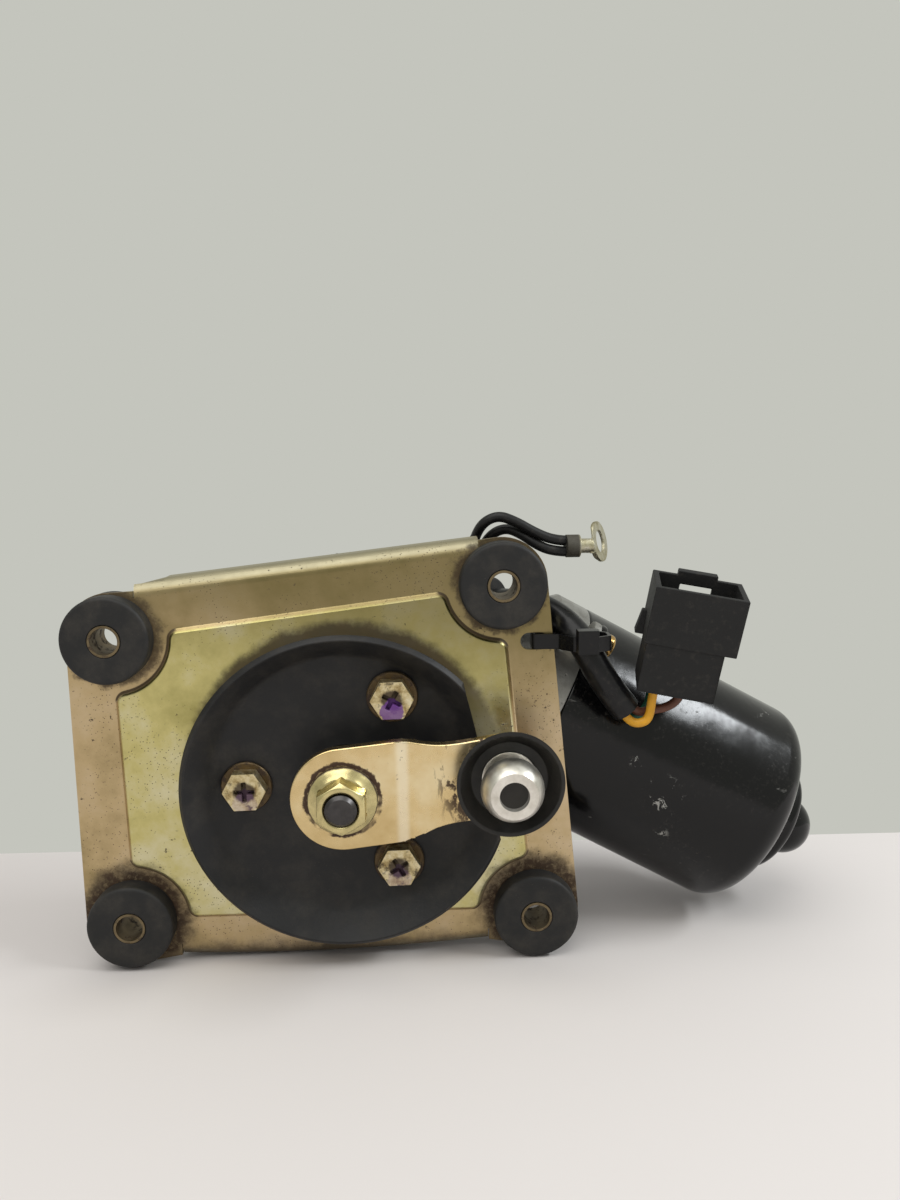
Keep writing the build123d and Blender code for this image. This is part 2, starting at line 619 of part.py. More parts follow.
CLIP_T = 1.2
CLIP_R = 8.4
SEAL_RING_T = 1.6
ring("shaft_clip", Plane.XY, Axis.Y, SHAFT_R, CLIP_R, HUB_REAR, HUB_REAR + CLIP_T)
ring("shaft_seal", Plane.XY, Axis.Y, SHAFT_R + 0.3, NOSE_R - 0.5, NOSE_FRONT - SEAL_RING_T, NOSE_FRONT)
ring("shaft_bush", Plane.XY, Axis.Y, SHAFT_R + RUNNING, BUSH_R, NOSE_FRONT, CAVITY_FRONT)


# ---- worm wheel -------------------------------------------------------------
def wheel_profile(turn):
    """Straight-sided tooth outline of the wheel, turned about its axis by degrees."""
    pitch_half = (pi * MODULE / 2 - TOOTH_GAP / 2) / 2
    slant = tan(radians(PRESSURE_ANGLE))
    levels = ((WHEEL_PITCH_R - MODULE - ROOT_CLEARANCE, pitch_half + (MODULE + ROOT_CLEARANCE) * slant),
              (WHEEL_PITCH_R + MODULE, pitch_half - MODULE * slant))
    sides = ((levels[0], -1), (levels[1], -1), (levels[1], 1), (levels[0], 1))
    points = []
    for tooth in range(TEETH):
        for (radius, half), side in sides:
            angle = radians(turn + tooth * 360 / TEETH) + side * half / radius
            points.append((radius * cos(angle), radius * sin(angle)))
    return points


FACE_TURN = degrees(WHEEL_FACE * tan(radians(LEAD_ANGLE)) / WHEEL_PITCH_R)
WHEEL_PHASE = 90 - MOTOR_SLOPE + 180 / TEETH
with BuildPart() as worm_wheel:
    with BuildSketch(facing(WHEEL_BACK)):
        with BuildLine():
            Polyline(*wheel_profile(WHEEL_PHASE - FACE_TURN / 2), close=True)
        make_face()
    with BuildSketch(facing(WHEEL_FRONT)):
        with BuildLine():
            Polyline(*wheel_profile(WHEEL_PHASE + FACE_TURN / 2), close=True)
        make_face()
    loft(ruled=True)
    for y, way in ((WHEEL_FRONT, -1), (WHEEL_BACK, 1)):
        depth = (WHEEL_FACE - WHEEL_WEB_T) / 2
        with BuildSketch(facing(y)):
            Circle(WHEEL_RIM_IN)
            Circle(WHEEL_HUB_R, mode=Mode.SUBTRACT)
            if way < 0:
                with PolarLocations(0, WHEEL_RIBS):
                    Rectangle(WHEEL_RIM_IN + 1, WHEEL_RIB_T, align=(Align.MIN, Align.CENTER),
                              mode=Mode.SUBTRACT)
        extrude(amount=way * depth, mode=Mode.SUBTRACT)
    with BuildSketch(facing(WHEEL_BACK)):
        Circle(SHAFT_R)
    extrude(amount=WHEEL_FACE, mode=Mode.SUBTRACT)
save(worm_wheel, "worm_wheel")

# The park cam is a copper track with one gap, on the wheel's rear web.
CAM_FRONT = GEAR_Y + WHEEL_WEB_T / 2
with BuildPart() as park_cam:
    with BuildSketch(facing(CAM_FRONT + CAM_T)):
        Circle(CAM_OUT)
        Circle(CAM_IN, mode=Mode.SUBTRACT)
        with PolarLocations(CAM_OUT - CAM_GAP_DEPTH / 2, 1, start_angle=CAM_GAP_ANGLE):
            Rectangle(CAM_GAP_DEPTH + CUT_OVER, CAM_GAP_WIDTH, mode=Mode.SUBTRACT)
    extrude(amount=CAM_T)
save(park_cam, "park_cam")

# ---- armature ---------------------------------------------------------------
worm_root = WORM_PITCH_R - MODULE - ROOT_CLEARANCE
worm_tip = WORM_PITCH_R + MODULE
THRUST_END = -24.0
SHAFT_TAIL = CAN_END + SHAFT_TAIL_OUT


def worm_thread():
    """One start of the worm as a helical ridge a little sunk in its root."""
    sunk = 0.15
    slant = tan(radians(PRESSURE_ANGLE))
    pitch_half = (pi * MODULE / 2 - TOOTH_GAP / 2) / 2
    base = worm_root - sunk
    base_half = pitch_half + (WORM_PITCH_R - base) * slant
    tip_half = pitch_half - MODULE * slant
    path = Helix(pitch=LEAD, height=WORM_LENGTH, radius=WORM_PITCH_R)
    with BuildSketch(Plane.XZ) as section:
        with BuildLine():
            Polyline((base, -base_half), (worm_tip, -tip_half), (worm_tip, tip_half),
                     (base, base_half), close=True)
        make_face()
    return sweep(section.sketch, path=path, is_frenet=True)


WORM_PLANE = Plane(origin=MOTOR_FOOT - MOTOR_DIR * WORM_LENGTH / 2, x_dir=-MOTOR_UP, z_dir=MOTOR_DIR)
thread = WORM_PLANE * worm_thread()
with BuildPart() as armature_shaft:
    with BuildSketch(MOTOR_PLANE):
        with BuildLine():
            Polyline((THRUST_END, 0), (THRUST_END, ARMATURE_SHAFT_R),
                     (-WORM_LENGTH / 2 - 2, ARMATURE_SHAFT_R), (-WORM_LENGTH / 2 - 1, worm_root),
                     (WORM_LENGTH / 2 + 1, worm_root), (WORM_LENGTH / 2 + 2, ARMATURE_SHAFT_R),
                     (SHAFT_TAIL, ARMATURE_SHAFT_R), (SHAFT_TAIL, 0), close=True)
        make_face()
    revolve(axis=MOTOR_AXIS)
    add(thread)
save(armature_shaft, "armature_shaft")

with BuildPart() as thrust_ball:
    with Locations(MOTOR_FOOT + MOTOR_DIR * (THRUST_END - ARMATURE_SHAFT_R * 0.6)):
        Sphere(ARMATURE_SHAFT_R * 0.6)
save(thrust_ball, "thrust_ball")

with BuildPart() as armature_core:
    with BuildSketch(across_motor(CORE_START)):
        Circle(CORE_R)
        Circle(ARMATURE_SHAFT_R, mode=Mode.SUBTRACT)
        with PolarLocations(CORE_R - 5.0, CORE_SLOTS):
            SlotOverall(8.0, 4.6, mode=Mode.SUBTRACT)
        with PolarLocations(CORE_R, CORE_SLOTS):
            Rectangle(5, 1.6, mode=Mode.SUBTRACT)
    extrude(amount=CORE_LENGTH)
save(armature_core, "armature_core")

with BuildPart() as armature_windings:
    for start in (CORE_START - COIL_OVERHANG, CORE_START + CORE_LENGTH):
        with BuildSketch(across_motor(start)):
            Circle(COIL_R)
            Circle(ARMATURE_SHAFT_R + 3, mode=Mode.SUBTRACT)
        extrude(amount=COIL_OVERHANG)
    with BuildSketch(across_motor(CORE_START)):
        with PolarLocations(CORE_R - 5.4, CORE_SLOTS):
            SlotOverall(6.2, 3.8)
    extrude(amount=CORE_LENGTH)
save(armature_windings, "armature_windings")

with BuildPart() as commutator:
    with BuildSketch(across_motor(COMMUTATOR_START)):
        Circle(COMMUTATOR_R)
        Circle(ARMATURE_SHAFT_R, mode=Mode.SUBTRACT)
        with PolarLocations(COMMUTATOR_R, COMMUTATOR_BARS):
            Rectangle(2.4, 0.6, mode=Mode.SUBTRACT)
    extrude(amount=COMMUTATOR_LENGTH)
save(commutator, "commutator")


# ---- bushes, thrust screw and brush gear ------------------------------------
def motor_bush(name, start, end, outer):
    with BuildPart() as bush:
        with BuildSketch(across_motor(start)):
            Circle(outer)
            Circle(ARMATURE_SHAFT_R + RUNNING, mode=Mode.SUBTRACT)
        extrude(amount=end - start)
    save(bush, name)


motor_bush("worm_end_bush", *WORM_END_BUSH, TUNNEL_BORE)
motor_bush("worm_drive_bush", *WORM_DRIVE_BUSH, TUNNEL_BORE)
END_BUSH_R = END_BOSS_R - CAN_WALL
motor_bush("end_bush", CAN_END + END_BUSH_INSET, CAN_END + END_BUSH_INSET + END_BUSH_LENGTH,
           END_BUSH_R)

BALL_END = THRUST_END - 1.2 * ARMATURE_SHAFT_R
THRUST_SCREW_R = 5.0
with BuildPart() as thrust_screw:
    with BuildSketch(across_motor(TUNNEL_START - 4)):
        Circle(THRUST_SCREW_R)
    extrude(amount=BALL_END - TUNNEL_START + 4)
    with BuildSketch(across_motor(TUNNEL_START - 4)):
        Rectangle(2 * THRUST_SCREW_R, 1.4)
    extrude(amount=1.6, mode=Mode.SUBTRACT)
save(thrust_screw, "thrust_screw")

with BuildPart() as thrust_locknut:
    with BuildSketch(across_motor(TUNNEL_START - 3)):
        RegularPolygon(8.0, 6, major_radius=False)
        Circle(THRUST_SCREW_R + FIT, mode=Mode.SUBTRACT)
    extrude(amount=3)
save(thrust_locknut, "thrust_locknut")

BRUSH_Y = COMMUTATOR_START + COMMUTATOR_LENGTH / 2 + 1
BRUSH_PLATE_START = CAN_START + 0.6
with BuildPart() as brush_plate:
    with BuildSketch(across_motor(BRUSH_PLATE_START)):
        Circle(CAN_R - CAN_WALL)
        Circle(COMMUTATOR_R - 3, mode=Mode.SUBTRACT)
    extrude(amount=BRUSH_PLATE_T)
    with BuildSketch(across_motor(BRUSH_PLATE_START)):
        for way in (-1, 1):
            with Locations((0, way * (COMMUTATOR_R + 9.5))):
                Rectangle(BRUSH_SIZE[1] + 2.4, 14)
                Rectangle(BRUSH_SIZE[1] + 0.4, 14, mode=Mode.SUBTRACT)
    extrude(amount=BRUSH_Y - BRUSH_PLATE_START + BRUSH_SIZE[0] / 2)
save(brush_plate, "brush_plate")

with BuildPart() as brushes:
    with BuildSketch(across_motor(BRUSH_Y - BRUSH_SIZE[0] / 2)):
        for way in (-1, 1):
            with Locations((0, way * (COMMUTATOR_R + 0.15 + BRUSH_LENGTH / 2))):
                Rectangle(BRUSH_SIZE[1], BRUSH_LENGTH)
    extrude(amount=BRUSH_SIZE[0])
save(brushes, "brushes")

SPRING_LENGTH = CAN_R - CAN_WALL - COMMUTATOR_R - BRUSH_LENGTH - 1.0
with BuildPart() as brush_springs:
    for way in (-1, 1):
        foot = MOTOR_FOOT + MOTOR_DIR * BRUSH_Y + MOTOR_UP * way * (COMMUTATOR_R + 0.3 + BRUSH_LENGTH)
        with BuildSketch(Plane(origin=foot, z_dir=MOTOR_UP * way)):
            Circle(2.0)
            Circle(1.4, mode=Mode.SUBTRACT)
        extrude(amount=SPRING_LENGTH)
save(brush_springs, "brush_springs")

# ---- motor can and magnets --------------------------------------------------
dome_start = CAN_END + END_BOSS_T
ring_end = CAN_END + END_RING_T
pocket_r = END_BUSH_R + FIT
with BuildPart() as motor_can:
    with BuildSketch(MOTOR_PLANE):
        with BuildLine():
            Line((CAN_START, MAGNET_OUT), (CAN_START, CAN_R))
            Line((CAN_START, CAN_R), (CAN_END - SHOULDER_R, CAN_R))
            RadiusArc((CAN_END - SHOULDER_R, CAN_R), (CAN_END, CAN_R - SHOULDER_R), SHOULDER_R)
            Polyline((CAN_END, CAN_R - SHOULDER_R), (CAN_END, END_RING_R),
                     (ring_end - END_RING_EDGE, END_RING_R))
            RadiusArc((ring_end - END_RING_EDGE, END_RING_R),
                      (ring_end, END_RING_R - END_RING_EDGE), END_RING_EDGE)
            Polyline((ring_end, END_RING_R - END_RING_EDGE), (ring_end, END_BOSS_R),
                     (dome_start, END_BOSS_R))
            RadiusArc((dome_start, END_BOSS_R), (dome_start + END_BOSS_R, 0), END_BOSS_R)
            Line((dome_start + END_BOSS_R, 0), (dome_start + pocket_r, 0))
            RadiusArc((dome_start + pocket_r, 0), (dome_start, pocket_r), -pocket_r)
            Polyline((dome_start, pocket_r), (CAN_END, pocket_r),
                     (CAN_END, END_RING_R - CAN_WALL), (CAN_END - CAN_WALL, END_RING_R - CAN_WALL),
                     (CAN_END - CAN_WALL, MAGNET_OUT - SHOULDER_R),
                     (CAN_END - SHOULDER_R - CAN_WALL / 2, MAGNET_OUT), (CAN_START, MAGNET_OUT))
        make_face()
    revolve(axis=MOTOR_AXIS)
    with BuildSketch(across_motor(CAN_START)):
        with PolarLocations(CAN_SCREW_R, 2, start_angle=CAN_SCREW_ANGLE):
            Circle(EAR_R)
            Rectangle(2 * EAR_R, 2 * EAR_R, align=(Align.MAX, Align.CENTER))
            Circle(CAN_SCREW_D / 2 + FIT, mode=Mode.SUBTRACT)
        Circle(MAGNET_OUT, mode=Mode.SUBTRACT)
    extrude(amount=CAN_LIP_T)
save(motor_can, "motor_can")

for name, middle in (("magnet_upper", 90), ("magnet_lower", 270)):
    with BuildPart() as magnet:
        with BuildSketch(across_motor(MAGNET_START)):
            with BuildLine():
                first = middle - MAGNET_ARC / 2
                outer_arc = CenterArc((0, 0), MAGNET_OUT, first, MAGNET_ARC)
                inner_arc = CenterArc((0, 0), MAGNET_IN, first, MAGNET_ARC)
                Line(outer_arc @ 0, inner_arc @ 0)
                Line(outer_arc @ 1, inner_arc @ 1)
            make_face()
        extrude(amount=MAGNET_END - MAGNET_START)
    save(magnet, name)

HEAD_START = CAN_START + CAN_LIP_T
with BuildPart() as can_screws:
    with BuildSketch(across_motor(HEAD_START)):
        with PolarLocations(CAN_SCREW_R, 2, start_angle=CAN_SCREW_ANGLE):
            Circle(CAN_SCREW_HEAD_R)
    extrude(amount=CAN_SCREW_HEAD)
    fillet(edges().group_by(MOTOR_AXIS)[-1], CAN_SCREW_HEAD / 3)
    with BuildSketch(across_motor(HEAD_START + CAN_SCREW_HEAD)):
        with PolarLocations(CAN_SCREW_R, 2, start_angle=CAN_SCREW_ANGLE):
            Rectangle(1.2, 2 * CAN_SCREW_HEAD_R)
    extrude(amount=-CAN_SCREW_HEAD / 2.4, mode=Mode.SUBTRACT)
    with BuildSketch(across_motor(HEAD_START)):
        with PolarLocations(CAN_SCREW_R, 2, start_angle=CAN_SCREW_ANGLE):
            Circle(CAN_SCREW_D / 2)
    extrude(amount=-CAN_LIP_T - EAR_T)
save(can_screws, "can_screws")


# ---- gear housing -----------------------------------------------------------
def housing_outline(shrink):
    """Bowl, switch pocket and cover screw ears, drawn in the current sketch."""
    Circle(BOWL_R - shrink)
    with Locations((0, LOBE_BOTTOM + shrink)):
        RectangleRounded(2 * (LOBE_HALF - shrink), -LOBE_BOTTOM, max(LOBE_CORNER - shrink, 1),
                         align=(Align.CENTER, Align.MIN))


def cover_screw_places():
    return [(COVER_SCREW_R * cos(radians(a)), COVER_SCREW_R * sin(radians(a)))
            for a in COVER_SCREW_ANGLES]


BOSS_FACE = Vector(*SHEATH_ROUTE[0])
BOSS_DIR = (Vector(*SHEATH_ROUTE[1]) - BOSS_FACE).normalized()
BOSS_END = BOSS_FACE - BOSS_DIR * HARNESS_GROMMET_LIP
EARTH_FACE = (Vector(*EARTH_A_ROUTE[0]) + Vector(*EARTH_B_ROUTE[0])) / 2

with BuildPart() as gear_housing:
    with BuildSketch(facing(BOWL_REAR)):
        Circle(BOWL_R)
    extrude(amount=BOWL_REAR - BOWL_FRONT)
    fillet(edges().group_by(Axis.Y)[0], BOWL_WALL)
    with BuildSketch(facing(BOWL_REAR)):
        housing_outline(0)
    extrude(amount=BOWL_REAR - LOBE_FRONT)
    with BuildSketch(facing(BOWL_REAR)):
        with Locations(*cover_screw_places()):
            Circle(COVER_EAR_R)
    extrude(amount=10)
    with BuildSketch(MOTOR_PLANE):
        with BuildLine():
            Polyline((TUNNEL_START, 0), (TUNNEL_START, TUNNEL_R), (TRUMPET_START, TUNNEL_R),
                     (TRUMPET_END, CAN_R), (CAN_START, CAN_R), (CAN_START, 0), close=True)
        make_face()
    revolve(axis=MOTOR_AXIS)
    with BuildSketch(across_motor(CAN_START)):
        with PolarLocations(CAN_SCREW_R, 2, start_angle=CAN_SCREW_ANGLE):
            Circle(EAR_R)
            Rectangle(2 * EAR_R, 2 * EAR_R, align=(Align.MAX, Align.CENTER))
        Circle(TUNNEL_R, mode=Mode.SUBTRACT)
    extrude(amount=-EAR_T)
    with BuildSketch(facing(BOWL_FRONT + 1)):
        with PolarLocations(SCREW_CIRCLE_R, SCREW_COUNT, start_angle=SCREW_START):
            Circle(LUG_R)
    extrude(amount=BOWL_FRONT + 1 - PANEL_REAR)
    with BuildSketch(facing(BOWL_FRONT + 1)):
        Circle(NOSE_R)
    extrude(amount=BOWL_FRONT + 1 - NOSE_FRONT)
    with BuildSketch(facing(BOWL_FRONT + 1)):
        Circle(NOSE_R + 6)
    extrude(amount=8, taper=30)
    with BuildSketch(Plane(origin=BOSS_END, z_dir=BOSS_DIR)):
        Circle(HARNESS_BOSS_R)
    extrude(amount=-HARNESS_BOSS_LENGTH)
    with BuildSketch(Plane(origin=EARTH_FACE - MOTOR_UP * EARTH_GROMMET_T, z_dir=MOTOR_UP)):
        Circle(EARTH_GROMMET_R + 1.6)
    extrude(amount=-TUNNEL_R)
    # openings
    with BuildSketch(facing(BOWL_REAR)):
        housing_outline(BOWL_WALL)
    extrude(amount=BOWL_REAR - LOBE_FRONT - BOWL_WALL, mode=Mode.SUBTRACT)
    with BuildSketch(facing(BOWL_REAR)):
        Circle(CAVITY_R)
    extrude(amount=BOWL_REAR - CAVITY_FRONT, mode=Mode.SUBTRACT)
    with BuildSketch(across_motor(TUNNEL_START)):
        Circle(TUNNEL_BORE)
    extrude(amount=CAN_START - TUNNEL_START, mode=Mode.SUBTRACT)
    with BuildSketch(across_motor(CAN_START)):
        Circle(CAN_R - 4)
    extrude(amount=-12, mode=Mode.SUBTRACT)
    with BuildSketch(facing(NOSE_FRONT)):
        Circle(BUSH_R)
    extrude(amount=NOSE_FRONT - CAVITY_FRONT - 1, mode=Mode.SUBTRACT)
    with BuildSketch(facing(PANEL_REAR)):
        with PolarLocations(SCREW_CIRCLE_R, SCREW_COUNT, start_angle=SCREW_START):
            Circle(SCREW_D / 2 + FIT)
    extrude(amount=PANEL_REAR - SCREW_END - 1, mode=Mode.SUBTRACT)
    with BuildSketch(across_motor(CAN_START)):
        with PolarLocations(CAN_SCREW_R, 2, start_angle=CAN_SCREW_ANGLE):
            Circle(CAN_SCREW_D / 2 + FIT)
    extrude(amount=-12, mode=Mode.SUBTRACT)
    with BuildSketch(facing(BOWL_REAR)):
        with Locations(*cover_screw_places()):
            Circle(COVER_SCREW_D / 2 + FIT)
    extrude(amount=9, mode=Mode.SUBTRACT)
    with BuildSketch(Plane(origin=BOSS_END, z_dir=BOSS_DIR)):
        Circle(HARNESS_GROMMET_R + FIT)
    extrude(amount=-6, mode=Mode.SUBTRACT)
    with BuildSketch(Plane(origin=BOSS_END, z_dir=BOSS_DIR)):
        Circle(HARNESS_GROMMET_R + 1.2 + FIT)
    extrude(amount=3 * HARNESS_GROMMET_LIP, mode=Mode.SUBTRACT)
save(gear_housing, "gear_housing")

# ---- gear cover -------------------------------------------------------------
with BuildPart() as trumpet_room:
    with BuildSketch(MOTOR_PLANE):
        with BuildLine():
            Polyline((TUNNEL_START, 0), (TUNNEL_START, TUNNEL_R + HOLE_CLEARANCE),
                     (TRUMPET_START, TUNNEL_R + HOLE_CLEARANCE),
                     (TRUMPET_END, CAN_R + HOLE_CLEARANCE + 1), (CAN_START, CAN_R + HOLE_CLEARANCE + 1),
                     (CAN_START, 0), close=True)
        make_face()
    revolve(axis=MOTOR_AXIS)

with BuildPart() as cover_gasket:
    with BuildSketch(facing(COVER_FRONT)):
        housing_outline(0)
        with Locations(*cover_screw_places()):
            Circle(COVER_EAR_R)
        Circle(CAVITY_R, mode=Mode.SUBTRACT)
        with Locations((0, LOBE_BOTTOM + BOWL_WALL)):
            RectangleRounded(2 * (LOBE_HALF - BOWL_WALL), -LOBE_BOTTOM - BOWL_WALL - 4,
                             LOBE_CORNER - BOWL_WALL, align=(Align.CENTER, Align.MIN),
                             mode=Mode.SUBTRACT)
        with Locations(*cover_screw_places()):
            Circle(COVER_SCREW_D / 2 + FIT, mode=Mode.SUBTRACT)
    extrude(amount=GASKET_T)
    add(trumpet_room.part, mode=Mode.SUBTRACT)
save(cover_gasket, "cover_gasket")

with BuildPart() as gear_cover:
    with BuildSketch(facing(COVER_BACK)):
        housing_outline(0)
        with Locations(*cover_screw_places()):
            Circle(COVER_EAR_R)
    extrude(amount=COVER_T)
    with BuildSketch(facing(COVER_BACK)):
        Circle(COVER_DOME_R)
    extrude(amount=-COVER_DOME, taper=20)
    fillet(edges().group_by(Axis.Y)[-1], 1.5)
    with BuildSketch(facing(COVER_FRONT)):
        Circle(COVER_DOME_R - COVER_T)
    extrude(amount=-COVER_DOME, taper=20, mode=Mode.SUBTRACT)
    with BuildSketch(facing(COVER_BACK + 1)):
        with Locations(*cover_screw_places()):
            Circle(COVER_SCREW_D / 2 + FIT)
    extrude(amount=2 * COVER_T, mode=Mode.SUBTRACT)
    add(trumpet_room.part, mode=Mode.SUBTRACT)
save(gear_cover, "gear_cover")

with BuildPart() as cover_screws:
    with BuildSketch(facing(COVER_BACK)):
        with Locations(*cover_screw_places()):
            Circle(COVER_SCREW_D * 0.9)
    extrude(amount=-COVER_SCREW_D * 0.6)
    fillet(edges().group_by(Axis.Y)[-1], COVER_SCREW_D * 0.2)
    with BuildSketch(facing(COVER_BACK + COVER_SCREW_D * 0.6)):
        with Locations(*cover_screw_places()):
            Rectangle(COVER_SCREW_D, COVER_SCREW_D * 0.22)
            Rectangle(COVER_SCREW_D * 0.22, COVER_SCREW_D)
    extrude(amount=COVER_SCREW_D * 0.35, mode=Mode.SUBTRACT)
    with BuildSketch(facing(COVER_BACK)):
        with Locations(*cover_screw_places()):
            Circle(COVER_SCREW_D / 2)
    extrude(amount=COVER_T + GASKET_T + 8)
save(cover_screws, "cover_screws")

# ---- park switch ------------------------------------------------------------
CARRIER_T = 2.4
CARRIER_FRONT = COVER_FRONT - CARRIER_T
CONTACT_T = 0.5
CONTACT_RADII = (CAM_IN + 2, (CAM_IN + CAM_OUT) / 2, CAM_OUT - 2)
with BuildPart() as park_contact_carrier:
    with BuildSketch(facing(COVER_FRONT)):
        Circle(CAM_OUT + 4)
        Circle(SHAFT_R + 3, mode=Mode.SUBTRACT)
        with Locations((0, LOBE_BOTTOM + BOWL_WALL + 2)):
            Rectangle(2 * (LOBE_HALF - BOWL_WALL) - 6, -LOBE_BOTTOM - CAM_OUT,
                      align=(Align.CENTER, Align.MIN))
    extrude(amount=CARRIER_T)
save(park_contact_carrier, "park_contact_carrier")

finger_gap = 0.3
with BuildPart() as park_contacts:
    for radius in CONTACT_RADII:
        middle = Plane(origin=(0, 0, -radius), x_dir=(1, 0, 0), z_dir=(0, 0, 1))
        tip_y = CAM_FRONT + CAM_T + finger_gap
        with BuildSketch(middle):
            with BuildLine():
                Polyline((-8, CARRIER_FRONT), (-8, CARRIER_FRONT - CONTACT_T),
                         (-3, CARRIER_FRONT - CONTACT_T), (6, tip_y), (8, tip_y + 1.2),
                         (8, tip_y + 1.9), (5.6, tip_y + CONTACT_T + 0.2), (-2.6, CARRIER_FRONT),
                         close=True)
            make_face()
        extrude(amount=1.2, both=True)
save(park_contacts, "park_contacts")

# ---- harness ----------------------------------------------------------------
with BuildPart() as harness_grommet:
    with BuildSketch(Plane(origin=BOSS_FACE, z_dir=BOSS_DIR)):
        Circle(HARNESS_GROMMET_R + 1.2)
    extrude(amount=-HARNESS_GROMMET_LIP)
    fillet(edges().group_by(Axis(BOSS_FACE, BOSS_DIR))[-1], 0.8)
    with BuildSketch(Plane(origin=BOSS_END, z_dir=BOSS_DIR)):
        Circle(HARNESS_GROMMET_R)
    extrude(amount=-5)
save(harness_grommet, "harness_grommet")

with BuildPart() as earth_grommet:
    with BuildSketch(Plane(origin=EARTH_FACE, x_dir=MOTOR_DIR, z_dir=MOTOR_UP)):
        SlotOverall(2.6 * EARTH_D, 1.6 * EARTH_D)
    extrude(amount=-EARTH_GROMMET_T)
save(earth_grommet, "earth_grommet")

make_cord("harness_sheath", SHEATH_ROUTE, SHEATH_D)

TURN = radians(CONNECTOR_TURN)
TIP = radians(CONNECTOR_TIP)
CONNECTOR_UP = Vector(sin(TURN) * cos(TIP), -sin(TIP), cos(TURN) * cos(TIP))
CONNECTOR_RIGHT = Vector(cos(TURN), 0, -sin(TURN)).rotate(Axis((0, 0, 0), CONNECTOR_UP),
                                                          CONNECTOR_YAW)
CONNECTOR_BASE = Plane(origin=CONNECTOR_ORIGIN, x_dir=CONNECTOR_RIGHT, z_dir=CONNECTOR_UP)
SHEATH_END = Vector(*SHEATH_ROUTE[-1])
SHEATH_WAY = (SHEATH_END - Vector(*SHEATH_ROUTE[-2])).normalized()
TO_FRONT = (Vector(0, -1, 0) + SHEATH_WAY * SHEATH_WAY.Y).normalized()
TO_LEFT = SHEATH_WAY.cross(TO_FRONT)
WIRE_PITCH_R = 1.75


def wire_route(angle, entry, *middle):
    """Straight out of the sheath's end, by the points between, and up into the connector."""
    turned = TO_FRONT * cos(radians(angle)) + TO_LEFT * sin(radians(angle))
    start = SHEATH_END + turned * WIRE_PITCH_R
    end = CONNECTOR_BASE.from_local_coords((*entry, 0))
    return (start, start + SHEATH_WAY * WIRE_LEAVE, *middle, end - CONNECTOR_UP * WIRE_ENTER, end)


ENTRY_YELLOW = (5.5, 4.0)
ENTRY_GREEN = (5.5, 11.0)
ENTRY_BROWN = (13.0, 7.0)
WIRES = {
    "wire_yellow": wire_route(40, ENTRY_YELLOW, (78.2, 1.7, 14.0), (81.0, 1.5, 15.2)),
    "wire_green": wire_route(160, ENTRY_GREEN, (79.7, 6.7, 15.0), (82.4, 7.5, 17.8)),
    "wire_brown": wire_route(280, ENTRY_BROWN, (82.2, 4.5, 16.9), (86.8, 4.2, 17.7)),
}
for name, route in WIRES.items():
    make_cord(name, route, WIRE_D)

# ---- connector --------------------------------------------------------------
SHROUD_TOP = CONNECTOR_HEIGHT - CONNECTOR_SHROUD_DROP
with BuildPart() as connector_housing:
    with BuildSketch(CONNECTOR_BASE.offset(CONNECTOR_STEP)):
        Rectangle(CONNECTOR_WIDTH, CONNECTOR_DEPTH, align=(Align.MIN, Align.MIN))
    extrude(amount=CONNECTOR_HEIGHT - CONNECTOR_STEP)
    with BuildSketch(CONNECTOR_BASE):
        with Locations((CONNECTOR_NECK_X, 0)):
            Rectangle(CONNECTOR_NECK, CONNECTOR_DEPTH - 1.5, align=(Align.MIN, Align.MIN))
    extrude(amount=CONNECTOR_STEP)
    with BuildSketch(CONNECTOR_BASE.offset(CONNECTOR_HEIGHT)):
        with Locations((CONNECTOR_WALL, CONNECTOR_WALL)):
            Rectangle(CONNECTOR_WIDTH - 2 * CONNECTOR_WALL, CONNECTOR_DEPTH - 2 * CONNECTOR_WALL,
                      align=(Align.MIN, Align.MIN))
    extrude(amount=CONNECTOR_FLOOR - CONNECTOR_HEIGHT, mode=Mode.SUBTRACT)
    with BuildSketch(CONNECTOR_BASE.offset(CONNECTOR_FLOOR)):
        for x in (CONNECTOR_WIDTH * 0.3, CONNECTOR_WIDTH * 0.7):
            with Locations((x, CONNECTOR_DEPTH / 2)):
                SlotOverall(8.4, 6.4, rotation=0)
    extrude(amount=SHROUD_TOP - CONNECTOR_FLOOR)
    with BuildSketch(CONNECTOR_BASE.offset(SHROUD_TOP)):
        for x in (CONNECTOR_WIDTH * 0.3, CONNECTOR_WIDTH * 0.7):
            with Locations((x, CONNECTOR_DEPTH / 2)):
                Rectangle(BLADE_WIDTH + 2 * FIT, BLADE_T + 2 * FIT)
    extrude(amount=-BLADE_DEPTH, mode=Mode.SUBTRACT)
    with BuildSketch(CONNECTOR_BASE.offset(CONNECTOR_HEIGHT - 2.4)):
        with Locations((CONNECTOR_WIDTH * 0.32, CONNECTOR_DEPTH - CONNECTOR_WALL - 1)):
            Rectangle(CONNECTOR_WIDTH * 0.36, CONNECTOR_WALL + 2, align=(Align.MIN, Align.MIN))
    extrude(amount=-7, mode=Mode.SUBTRACT)
    with BuildSketch(CONNECTOR_BASE.offset(CONNECTOR_HEIGHT - 2.4)):
        with Locations((CONNECTOR_WIDTH * 0.28, CONNECTOR_DEPTH - CONNECTOR_WALL)):
            Rectangle(CONNECTOR_WIDTH * 0.44, CONNECTOR_WALL + 1.4, align=(Align.MIN, Align.MIN))
    extrude(amount=3.6)
    with BuildSketch(CONNECTOR_BASE.offset(CONNECTOR_STEP - 1)):
        with Locations((CONNECTOR_WALL, CONNECTOR_DEPTH * 0.6)):
            Rectangle(2.0 + CONNECTOR_WALL, 4.0, align=(Align.MAX, Align.MIN))
    extrude(amount=6.5, taper=8)
